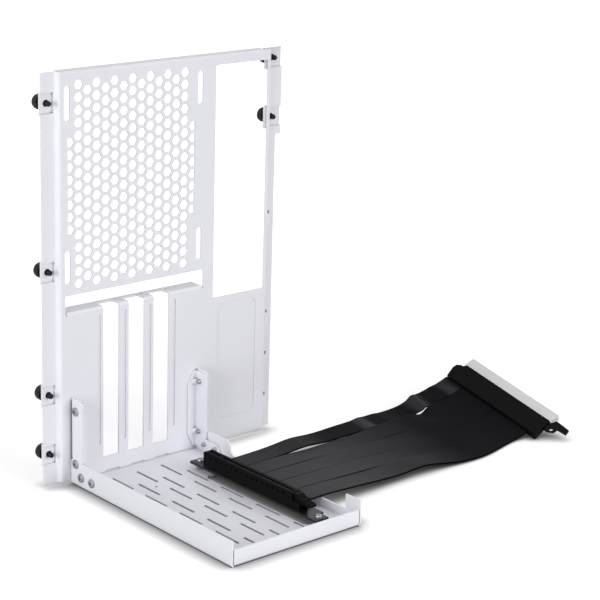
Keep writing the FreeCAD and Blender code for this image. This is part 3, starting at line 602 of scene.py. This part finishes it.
@dataclass
class Studio:
    """Camera, lamps, white surround and floor."""

    # Where the lens stood, in the panel's millimetres, and how it was turned, in degrees.
    eye: Vector = Vector((-648.57, -956.83, 471.41))
    yaw: float = 40.876
    pitch: float = -15.925
    roll: float = 1.475
    focal_px: float = 1897.27
    centre_px: tuple[float, float] = (276.609, 278.319)
    sensor_mm: float = 36.0
    far_clip: float = 50.0
    floor_size: float = 12.0
    # Strength of the surround as a lamp, where the lens sees it as plain white.
    glow: float = 0.5

    def aim_camera(self) -> None:
        """Stand the camera where the photograph was taken from."""
        data = bpy.data.cameras.new("view")
        data.sensor_width = self.sensor_mm
        data.lens = self.focal_px / IMAGE_PX * data.sensor_width
        data.shift_x = (IMAGE_PX / 2 - self.centre_px[0]) / IMAGE_PX
        data.shift_y = -(IMAGE_PX / 2 - self.centre_px[1]) / IMAGE_PX
        data.clip_end = self.far_clip
        yaw, pitch, roll = (math.radians(v) for v in (self.yaw, self.pitch, self.roll))
        ahead = Vector((math.sin(yaw) * math.cos(pitch), math.cos(yaw) * math.cos(pitch), math.sin(pitch)))
        right = Vector((math.cos(yaw), -math.sin(yaw), 0.0))
        up = right.cross(ahead)
        rolled_right = right * math.cos(roll) + up * math.sin(roll)
        rolled_up = up * math.cos(roll) - right * math.sin(roll)
        turn = Matrix((rolled_right, rolled_up, -ahead)).transposed().to_4x4()
        camera = bpy.data.objects.new("view", data)
        camera.matrix_world = Matrix.Translation(place(*self.eye)) @ turn
        bpy.context.scene.collection.objects.link(camera)
        bpy.context.scene.camera = camera

    def lay_floor(self) -> None:
        """Lay the floor under the object."""
        work = bmesh.new()
        bmesh.ops.create_grid(work, x_segments=1, y_segments=1, size=self.floor_size / 2)
        mesh = bpy.data.meshes.new("floor")
        work.to_mesh(mesh)
        work.free()
        mesh.materials.append(WhiteSweep().build())
        floor = bpy.data.objects.new("floor", mesh)
        bpy.context.scene.collection.objects.link(floor)

    def surround(self) -> None:
        """White surround that lights softly from all round."""
        world = bpy.data.worlds.new("surround")
        bpy.context.scene.world = world
        world.use_nodes = True
        tree = world.node_tree
        tree.nodes.clear()
        strength = add_node(
            tree, "ShaderNodeMapRange", {"To Min": self.glow, "To Max": 1.0}, {"Value": seen_by_lens(tree)}
        )
        sky = add_node(tree, "ShaderNodeBackground", {"Color": WHITE}, {"Strength": strength.outputs[0]})
        add_node(tree, "ShaderNodeOutputWorld", links={"Surface": sky.outputs[0]})

    def hang_lamp(
        self, name: str, spot: Vector, target: Vector, size: float, power: float, spread: float = 180.0
    ) -> None:
        """Hang one soft box.

        Args:
            name: Name of the lamp.
            spot: Where it hangs, in metres.
            target: What it points at.
            size: Side of the square box, in metres.
            power: Its power in watts.
            spread: Opening of its beam, in degrees.
        """
        data = bpy.data.lights.new(name, "AREA")
        data.shape = "SQUARE"
        data.size = size
        data.energy = power
        data.spread = math.radians(spread)
        turn = (spot - target).to_track_quat("Z", "Y").to_matrix().to_4x4()
        lamp = bpy.data.objects.new(name, data)
        lamp.matrix_world = Matrix.Translation(spot) @ turn
        bpy.context.scene.collection.objects.link(lamp)

    def light(self) -> None:
        """Hang a large soft box on the left, a gridded one in front of the tray and a weak one overhead."""
        middle = Vector((0.05, 0.0, 0.08))
        under_tray = Vector((0.05, -0.25, -0.12))
        self.hang_lamp("left_box", Vector((-2.0, -0.35, 0.5)), middle, size=1.3, power=26.0)
        self.hang_lamp("front_box", Vector((0.2, -0.9, 0.35)), under_tray, size=0.5, power=2.05, spread=110.0)
        self.hang_lamp("top_box", Vector((-0.2, -0.6, 2.2)), middle, size=1.4, power=5.5)

    def build(self) -> None:
        """Set up the whole studio."""
        bpy.context.scene.view_settings.view_transform = "Standard"
        self.aim_camera()
        self.surround()
        self.lay_floor()
        self.light()


@dataclass
class EdgePlug:
    """Edge plug at the ribbon's far end, tilted as it lies on the table."""

    shells: tuple[str, ...] = ("plug_housing_top", "plug_housing_bottom")
    board: str = "plug_board"
    cover: str = "finger_cover"
    x: float = 312.3
    y: float = -81.8
    roll: float = 13.0
    pitch: float = 25.0
    # Corner of its shells that rests on the table: along the plug, towards the fingers and below its board.
    front: float = 49.0
    edge: float = -0.7
    low: float = 2.5

    def axes(self) -> tuple[Vector, Vector, Vector]:
        """Return the plug's own length, finger and height directions."""
        roll, pitch = math.radians(self.roll), math.radians(self.pitch)
        along = Vector((0.0, -math.cos(roll), -math.sin(roll)))
        rise = Vector((math.cos(pitch), 0.0, math.sin(pitch)))
        finger = (rise - along * rise.dot(along)).normalized()
        return along, finger, along.cross(finger)

    def point(self, u: float, v: float, w: float = 0.0) -> Vector:
        """Point of the plug in the panel's millimetres.

        Args:
            u: Distance along the plug.
            v: Distance towards the fingers.
            w: Height above the middle of its board.

        Returns:
            The point, in millimetres.
        """
        along, finger, height = self.axes()
        z = -self.front * along.z - self.edge * finger.z + self.low * height.z
        return Vector((self.x, self.y, z)) + along * u + finger * v + height * w

    def build(self, finishes: Finishes) -> None:
        """Dress the plug's shells, board and cover.

        Args:
            finishes: Finishes of the object.
        """
        for shell in self.shells:
            dress(shell, finishes.nylon)
        dress(self.board, finishes.dull_mask)
        dress(self.cover, finishes.cover)


@dataclass
class RibbonLead:
    """Five flat strips side by side, from the clamp on the riser board to the edge plug."""

    plug: EdgePlug
    strips: int = 5
    width: float = 16.4
    pitch: float = 16.8
    thickness: float = 1.2
    rim: float = 0.4
    # Width that every strip gains, so that they nearly meet.
    fill: float = 0.3
    start_x: float = 99.0
    start_y: float = -88.05
    last_run: float = 12.0
    across: int = 14
    between: int = 16
    # Sideways bulge: middle and half length as shares, size, and how it fades towards the rear.
    bulge: tuple[float, float, float] = (0.67, 0.16, 6.3)
    bulge_fade: float = 1.3
    # Faint ripple of lift in millimetres and of roll in radians: size, rate, and shift from strip to strip.
    ripples: tuple[tuple[float, float, float], ...] = ((0.3, 9.0, 1.9), (0.02, 12.0, 2.3))
    # Slits: the strip in front of it, middle and half length as shares, and width.
    slits: tuple[tuple[int, float, float, float], ...] = (
        (1, 0.25, 0.055, 1.0),
        (1, 0.5, 0.12, 0.7),
        (1, 0.74, 0.03, 1.2),
        (2, 0.52, 0.1, 0.6),
    )
    # Buckles: strip, middle and half length as shares, rise, and turn in radians.
    buckles: tuple[tuple[int, float, float, float, float], ...] = (
        (0, 0.25, 0.065, 1.4, 0.0),
        (0, 0.42, 0.09, 1.0, 0.0),
        (0, 0.52, 0.1, 0.5, 0.0),
        (1, 0.52, 0.1, 0.6, 0.0),
        (0, 0.52, 0.02, 0.8, 0.0),
        (0, 0.62, 0.03, 0.0, -0.09),
        (0, 0.68, 0.06, -2.1, 0.0),
        (0, 0.73, 0.03, 0.0, -0.08),
        (0, 0.78, 0.016, 1.5, 0.0),
        (0, 0.8, 0.022, 0.0, 0.12),
        (0, 0.85, 0.05, 0.6, 0.0),
        (0, 0.9, 0.02, 0.3, 0.03),
        (1, 0.74, 0.035, -1.3, -0.15),
        (4, 0.46, 0.08, 1.9, -0.08),
        (4, 0.9, 0.09, 1.1, -0.04),
    )
    # Route of the lead: distance to the right, and height of its rear and of its front edge.
    stations: tuple[tuple[float, float, float], ...] = (
        (99.0, 8.5, 8.5),
        (116.0, 8.6, 8.5),
        (148.0, 9.3, 6.1),
        (182.0, 8.7, 4.6),
        (216.0, 8.9, 3.0),
        (248.0, 11.4, 1.3),
        (276.0, 13.6, 1.1),
    )

    def route(self, index: int) -> list[Vector]:
        """Route points of one strip.

        Args:
            index: Number of the strip, from the rear.

        Returns:
            The points in the panel's millimetres.
        """
        share = (index + 0.5) / self.strips
        u = (index - (self.strips - 1) / 2) * self.pitch
        end = self.plug.point(u, self.plug.edge)
        start_y = self.start_y - u
        drift = Vector((end.x - self.start_x, end.y - start_y, 0.0)).normalized()
        points = [
            Vector((s, start_y + (s - self.start_x) * drift.y / drift.x, rear + (front - rear) * share))
            for s, rear, front in self.stations
        ]
        finger = self.plug.axes()[1]
        points.append(end - finger * self.last_run)
        points.append(end)
        return points

    def line(self, points: Iterable[Vector]) -> list[Vector]:
        """Points down the middle of a strip, read from its spline.

        Args:
            points: Route points in the panel's millimetres.

        Returns:
            Points of the smooth line in the row's frame.
        """
        curve = bpy.data.curves.new("route", "CURVE")
        curve.dimensions = "3D"
        spline = curve.splines.new("NURBS")
        places = [place(*p) for p in points]
        spline.points.add(len(places) - 1)
        for control, spot in zip(spline.points, places):
            control.co = (*spot, 1.0)
        spline.order_u = 3
        spline.use_endpoint_u = True
        spline.resolution_u = self.between
        holder = bpy.data.objects.new("route", curve)
        mesh = bpy.data.meshes.new_from_object(holder)
        line = [v.co.copy() for v in mesh.vertices]
        bpy.data.meshes.remove(mesh)
        bpy.data.objects.remove(holder)
        bpy.data.curves.remove(curve)
        return line

    def wave(self, index: int, share: float) -> tuple[float, float]:
        """Lift and roll of a strip where it buckles.

        Args:
            index: Number of the strip, from the rear.
            share: Place along the strip, from 0 to 1.

        Returns:
            Lift in millimetres, and roll in radians.
        """
        calm = math.sin(math.pi * share) ** 2
        lift, roll = (
            size * math.sin(rate * share + shift * index) * calm for size, rate, shift in self.ripples
        )
        for strip, middle, half, rise, turn in self.buckles:
            if strip == index:
                swell = self.hump(share, middle, half)
                lift += rise * swell
                roll += turn * swell
        return lift, roll

    def hump(self, share: float, middle: float, half: float) -> float:
        """Profile of one rounded hump.

        Args:
            share: Place along the strip, from 0 to 1.
            middle: Where the hump stands.
            half: Half its width, as a share.

        Returns:
            Its height at that place, from 0 to 1.
        """
        return math.exp(-(((share - middle) / half) ** 2))

    def slack(self, index: int, share: float) -> float:
        """Room that a strip takes up beside the one behind it.

        Args:
            index: Number of the strip, from the rear.
            share: Place along the strip, from 0 to 1.

        Returns:
            The added width in millimetres, less where a slit opens.
        """
        if index == 0:
            return 0.0
        room = self.spread(index, share) - self.spread(index - 1, share)
        for strip, middle, half, wide in self.slits:
            if strip == index:
                room -= wide * self.hump(share, middle, half)
        return room

    def spread(self, index: int, share: float) -> float:
        """Sideways bulge of a strip towards the front, in millimetres.

        Args:
            index: Number of the strip, from the rear.
            share: Place along the strip, from 0 to 1.

        Returns:
            The bulge at that place.
        """
        middle, half, size = self.bulge
        return size * self.hump(share, middle, half) * (index / (self.strips - 1)) ** self.bulge_fade

    def sheet(self, index: int) -> tuple[bmesh.types.BMesh, list[Vector]]:
        """Bend a flat grid along one strip's line, and lay its distances down as a UV map in metres.

        Args:
            index: Number of the strip, from the rear.

        Returns:
            The mesh, and the points of the line down its middle, both in the row's frame.
        """
        line = self.line(self.route(index))
        last = len(line) - 1
        work = bmesh.new()
        bmesh.ops.create_grid(work, x_segments=self.across, y_segments=last, size=0.5)
        verts = sorted(work.verts, key=lambda v: (round(v.co.y, 5), v.co.x))
        flat, tilted = -AXIS_Y, self.plug.axes()[0]
        centres = []
        uv_of = {}
        run = 0.0
        for ring, spot in enumerate(line):
            ahead = (line[min(ring + 1, last)] - line[max(ring - 1, 0)]).normalized()
            share = ring / last
            lift, roll = self.wave(index, share)
            side = flat.lerp(tilted, share * share * (3 - 2 * share))
            side = (side - ahead * side.dot(ahead)).normalized()
            side = (Matrix.Rotation(roll, 3, ahead) @ side).normalized()
            centre = spot + Vector((0.0, -self.spread(index, share) * MM, lift * MM))
            run += (centre - centres[-1]).length if centres else 0.0
            centres.append(centre)
            slack = self.slack(index, share)
            width = self.width + self.fill + slack
            for column in range(self.across + 1):
                off = (column / self.across - 0.5) * width
                vert = verts[ring * (self.across + 1) + column]
                vert.co = centre + side * ((off - slack / 2) * MM)
                uv_of[vert] = (off * MM, run)
        uv = work.loops.layers.uv.new("along")
        for face in work.faces:
            for loop in face.loops:
                loop[uv].uv = uv_of[loop.vert]
        return work, centres

    def strip(self, index: int, finishes: Finishes) -> None:
        """Args:
            index: Number of the strip, from the rear.
            finishes: Finishes of the object.
        """
        work, centres = self.sheet(index)
        jacket = finishes.jacket if index else finishes.creased
        piece = finish_piece(work, f"ribbon_band_{index + 1}", [jacket, finishes.jacket_edge])
        wall = piece.modifiers.new("jacket", "SOLIDIFY")
        wall.thickness = self.thickness * MM
        wall.offset = 0.0
        wall.use_even_offset = True
        # The side walls take the painted shade.
        wall.material_offset_rim = 1
        rim = piece.modifiers.new("rim", "BEVEL")
        rim.width = self.rim * MM
        rim.segments = 2
        rim.limit_method = "ANGLE"
        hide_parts(f"ribbon_strip_{index + 1}")

    def build(self, finishes: Finishes) -> None:
        """Build all the strips.

        Args:
            finishes: Finishes of the object.
        """
        for index in range(self.strips):
            self.strip(index, finishes)


@dataclass
class PanScrew:
    """Pan-head machine screw with a cross recess and a threaded end."""

    head_radius: float = 3.0
    head_height: float = 1.3
    # Edge of the head from its seat up, as shares of its radius and height.
    dome: tuple[tuple[float, float], ...] = ((1.0, 0.0), (1.0, 0.45), (0.9, 0.8), (0.68, 1.0))
    shank_radius: float = 1.5
    length: float = 4.6
    thread_pitch: float = 0.5
    thread_deep: float = 0.25
    # Crest before and root behind the middle of each turn, as shares of the pitch.
    crest: float = 0.12
    root: float = 0.38
    chamfer: float = 0.3
    recess: float = 1.7
    recess_deep: float = 0.8
    # Shape of the cross: reach between its arms, share that its floor keeps, and how narrow its arms are.
    waist: float = 0.42
    taper: float = 0.75
    arm_power: int = 6
    steps: int = 24

    def mesh(self) -> bmesh.types.BMesh:
        """Return the screw about its own seat, head up, in millimetres."""
        top = self.head_height
        profile = [(0.0, -self.length), (self.shank_radius - self.chamfer, -self.length)]
        for turn in range(int(self.length / self.thread_pitch)):
            z = -self.length + self.thread_pitch * (turn + 0.5)
            profile.append((self.shank_radius, z - self.thread_pitch * self.crest))
            profile.append((self.shank_radius - self.thread_deep, z + self.thread_pitch * self.root))
        profile.append((self.shank_radius, 0.0))
        profile += [(self.head_radius * wide, top * high) for wide, high in self.dome]
        work = spun(profile, self.steps)
        rim = [e for e in work.edges if e.is_boundary]
        inner = bmesh.ops.extrude_edge_only(work, edges=rim)["geom"]
        for vert in (g for g in inner if isinstance(g, bmesh.types.BMVert)):
            angle = math.atan2(vert.co.y, vert.co.x)
            arm = abs(math.cos(2 * angle)) ** self.arm_power
            reach = self.recess * (self.waist + (1 - self.waist) * arm)
            vert.co = Vector((math.cos(angle) * reach, math.sin(angle) * reach, top))
        mouth = [g for g in inner if isinstance(g, bmesh.types.BMEdge) and g.is_boundary]
        floor = bmesh.ops.extrude_edge_only(work, edges=mouth)["geom"]
        for vert in (g for g in floor if isinstance(g, bmesh.types.BMVert)):
            vert.co = Vector((vert.co.x * self.taper, vert.co.y * self.taper, top - self.recess_deep))
        last = [g for g in floor if isinstance(g, bmesh.types.BMEdge) and g.is_boundary]
        bmesh.ops.holes_fill(work, edges=last, sides=0)
        return work


@dataclass
class Thumbscrew:
    """Captive thumbscrew: fluted domed head, collar, neck and thread."""

    head_radius: float = 5.0
    head_front: float = 8.5
    head_back: float = 14.5
    chamfer: float = 0.4
    # Dome of the head: distances in from its radius and down from its back.
    dome: tuple[tuple[float, float], ...] = ((0.0, 2.0), (0.35, 1.0), (1.1, 0.35), (2.2, 0.0))
    collar_radius: float = 3.4
    collar_flare: float = 0.3
    seat: float = 5.7
    neck_radius: float = 1.5
    thread_radius: float = 1.75
    thread_end: float = 4.5
    thread_deep: float = 0.3
    pitch: float = 0.8
    # Crest and root of each turn, as shares of the pitch.
    crest: float = 0.25
    root: float = 0.75
    tip: float = 0.5
    # Lead-in of the thread: distances in from its radius and up from its tip.
    lead_in: tuple[tuple[float, float], ...] = ((0.5, 0.0), (0.1, 0.6))
    first_turn: float = 0.8
    flutes: int = 24
    flute_deep: float = 0.35
    # Steps round the head from one flute to the next.
    flute_steps: int = 3

    def mesh(self) -> bmesh.types.BMesh:
        """Return the thumbscrew about the panel's front face, its head along Z, in millimetres."""
        profile = [(0.0, self.tip)]
        profile += [(self.thread_radius - inset, self.tip + rise) for inset, rise in self.lead_in]
        z = self.tip + self.first_turn
        while z + self.pitch < self.thread_end:
            profile.append((self.thread_radius, z + self.pitch * self.crest))
            profile.append((self.thread_radius - self.thread_deep, z + self.pitch * self.root))
            z += self.pitch
        profile += [
            (self.neck_radius, self.thread_end),
            (self.neck_radius, self.seat),
            (self.collar_radius, self.seat),
            (self.collar_radius, self.head_front - self.collar_flare),
            (self.collar_radius + self.collar_flare, self.head_front),
            (self.head_radius - self.chamfer, self.head_front),
            (self.head_radius, self.head_front + self.chamfer),
        ]
        profile += [(self.head_radius - inset, self.head_back - drop) for inset, drop in self.dome]
        profile.append((0.0, self.head_back))
        steps = self.flutes * self.flute_steps
        work = spun(profile, steps)
        for vert in work.verts:
            radius = math.hypot(vert.co.x, vert.co.y)
            if radius > self.head_radius - self.flute_deep / 2:
                column = round(math.atan2(vert.co.y, vert.co.x) / (2 * math.pi) * steps)
                if column % self.flute_steps == 0:
                    scale = (radius - self.flute_deep) / radius
                    vert.co.x *= scale
                    vert.co.y *= scale
        return work


@dataclass
class Hardware:
    """Screws and thumbscrews of the bracket."""

    # Side screws by distance behind the panel and height, thumbscrews by distance to the right and heights.
    side_screws: tuple[tuple[float, float], ...] = ((-5.5, 51.0), (-5.5, 15.0), (-11.5, 7.3), (-23.2, 7.3))
    walls: tuple[float, float] = (7.0, 111.0)
    thumbs_left: tuple[float, tuple[float, ...]] = (-7.2, (252.0, 144.3, 62.5, 22.3))
    thumbs_right: tuple[float, tuple[float, ...]] = (174.2, (264.7, 224.4))
    board_screws: tuple[tuple[float, float], ...] = ((88.6, -32.2), (88.6, -150.8))
    board_top: float = 6.5

    def turn_out(
        self,
        node: str,
        screw: PanScrew | Thumbscrew,
        seats: Sequence[Vector],
        axis: Vector,
        material: bpy.types.Material,
    ) -> None:
        """Build the screws of one node, each a piece named for the node and its number.

        Args:
            node: Node whose name is the plural of its pieces' names.
            screw: The screw that is built again and again.
            seats: Where each one sits, in the row's frame.
            axis: Direction of their heads.
            material: Their finish.
        """
        for number, seat in enumerate(seats, 1):
            work = screw.mesh()
            move_to(work, seat, axis)
            piece = finish_piece(work, f"{node.removesuffix('s')}_{number}", [material])
            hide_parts(node)

    def build(self, finishes: Finishes) -> None:
        """Build every screw.

        Args:
            finishes: Finishes of the object.
        """
        steel, black = finishes.nickel, finishes.blackened
        for side, wall, (x, heights) in zip(Side, self.walls, (self.thumbs_left, self.thumbs_right)):
            name = side.name.lower()
            seats = [place(wall, y, z) for y, z in self.side_screws]
            self.turn_out(f"{name}_side_screws", PanScrew(), seats, AXIS_X * side.value, steel)
            seats = [place(x, 0.0, z) for z in heights]
            self.turn_out(f"{name}_thumbscrews", Thumbscrew(), seats, AXIS_Y, black)
        small = PanScrew(head_radius=2.4, head_height=1.7, shank_radius=1.4, length=5.2, recess=1.4)
        seats = [place(x, y, self.board_top) for x, y in self.board_screws]
        self.turn_out("board_screws", small, seats, AXIS_Z, steel)


@dataclass
class SheetMetal:
    """Folded panel, tray and angles, and painted shade in the open ends of the bridges lanced out of the
    right joggle.
    """

    nodes: tuple[str, ...] = ("rear_panel", "gpu_tray", "left_angle_bracket", "right_angle_bracket")
    # Heights of the bridges' middles, the joggle's line in plan, and how far each patch of painted shade in a
    # mouth reaches up or down.
    bridges: tuple[float, ...] = (153.5, 82.4, 52.2, 22.0)
    bridge_height: float = 8.0
    slope: tuple[tuple[float, float], ...] = ((169.8, 0.3), (171.4, 2.96), (173.6, 2.96))
    mouths: tuple[tuple[int, float], ...] = ((1, 1.7), (-1, 0.9))

    def mouth(self, work: bmesh.types.BMesh, low: float, high: float) -> None:
        """Add one strip of painted shade in a bridge's mouth, along the joggle's slope and the lip.

        Args:
            work: Mesh in the row's frame that takes it.
            low: Its lower edge, in millimetres.
            high: Its upper edge.
        """
        line = [work.verts.new(place(x, y, low)) for x, y in self.slope]
        edges = [work.edges.new(pair) for pair in zip(line, line[1:])]
        grown = bmesh.ops.extrude_edge_only(work, edges=edges)["geom"]
        upper = [g for g in grown if isinstance(g, bmesh.types.BMVert)]
        bmesh.ops.translate(work, verts=upper, vec=AXIS_Z * (high - low) * MM)

    def build(self, finishes: Finishes) -> None:
        """Dress the folded sheets and paint shade into the bridges' mouths.

        Args:
            finishes: Finishes of the object.
        """
        for node in self.nodes:
            dress(node, finishes.coat)
        # Painted shade: flat dark strips where the bridges' mouths would lie in shadow, not openings.
        work = bmesh.new()
        for z in self.bridges:
            for side, tall in self.mouths:
                near = z + side * self.bridge_height / 2
                self.mouth(work, *sorted((near, near + side * tall)))
        piece = finish_piece(work, "bridge_mouths", [finishes.shaded], smooth=False)


@dataclass
class Riser:
    """Riser board with its card connector, latch, clamp and standoffs."""

    mouldings: tuple[str, ...] = ("slot_housing", "slot_latch", "ribbon_clamp")
    middle: tuple[float, float] = (87.0, -86.8)
    top: float = 15.0
    chamber: float = 3.0
    # Contact pairs behind the key and in front of it.
    groups: tuple[int, int] = (11, 71)
    pitch: float = 1.0
    key_gap: float = 3.0
    blade_wide: float = 0.5
    blade_thick: float = 0.25
    # Line of a blade: distance below the connector's mouth, and how far it leans in from its wall.
    bow: tuple[tuple[float, float], ...] = ((6.0, 0.02), (2.4, 0.57), (1.2, 0.57), (0.0, 0.12))

    def contact_places(self) -> list[float]:
        """Return the Y of every contact pair, from the rear end forward."""
        y = self.middle[1] + ((sum(self.groups) - 2) * self.pitch + self.key_gap) / 2
        places = []
        for count in self.groups:
            places += [y - self.pitch * i for i in range(count)]
            y = places[-1] - self.key_gap
        return places

    def blade(self, work: bmesh.types.BMesh, y: float, side: Side) -> None:
        """Add one spring blade, bowed towards the middle of the slot.

        Args:
            work: Mesh in the row's frame that takes it.
            y: Its place along the connector.
            side: Side of the slot.
        """
        wall = self.middle[0] + side.value * self.chamber / 2
        half = self.blade_thick / 2
        spots = [place(wall - side.value * (lean + half), y, self.top - painted_slot_shade) for painted_slot_shade, lean in self.bow]
        flat = Matrix.Diagonal((self.blade_thick * MM, self.blade_wide * MM, 1.0, 1.0))
        foot = Matrix.Translation(spots[0]) @ flat
        corners = bmesh.ops.create_grid(work, x_segments=1, y_segments=1, size=0.5, matrix=foot)["verts"]
        ends = [corners[0].link_faces[0]]
        for low, high in zip(spots, spots[1:]):
            grown = bmesh.ops.extrude_face_region(work, geom=ends[-1:])["geom"]
            ends += [g for g in grown if isinstance(g, bmesh.types.BMFace)]
            bmesh.ops.translate(work, verts=ends[-1].verts[:], vec=high - low)
        bmesh.ops.delete(work, geom=ends[1:-1], context="FACES_ONLY")

    def contacts(self, finishes: Finishes) -> None:
        """Build the spring blades on both sides of the slot.

        Args:
            finishes: Finishes of the object.
        """
        work = bmesh.new()
        for y in self.contact_places():
            for side in Side:
                self.blade(work, y, side)
        piece = finish_piece(work, "contact_blades", [finishes.gilt], smooth=False)
        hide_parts("slot_contacts")

    def build(self, finishes: Finishes) -> None:
        """Dress the riser.

        Args:
            finishes: Finishes of the object.
        """
        dress("riser_board", finishes.mask)
        dress("board_standoffs", finishes.nickel)
        for moulding in self.mouldings:
            dress(moulding, finishes.nylon)
        self.contacts(finishes)


def main() -> None:
    """Build the studio and every sub-assembly in order."""
    logging.basicConfig(level=logging.INFO, format="%(name)s: %(message)s")
    Studio().build()
    finishes = Finishes.make()
    plug = EdgePlug()
    steps: list[tuple[str, Callable[[Finishes], None]]] = [
        ("ribbon lead", RibbonLead(plug).build),
        ("edge plug", plug.build),
        ("sheet metal", SheetMetal().build),
        ("riser", Riser().build),
        ("hardware", Hardware().build),
    ]
    for name, build in steps:
        build(finishes)
        LOG.info("built the %s", name)


if __name__ == "__main__":
    main()
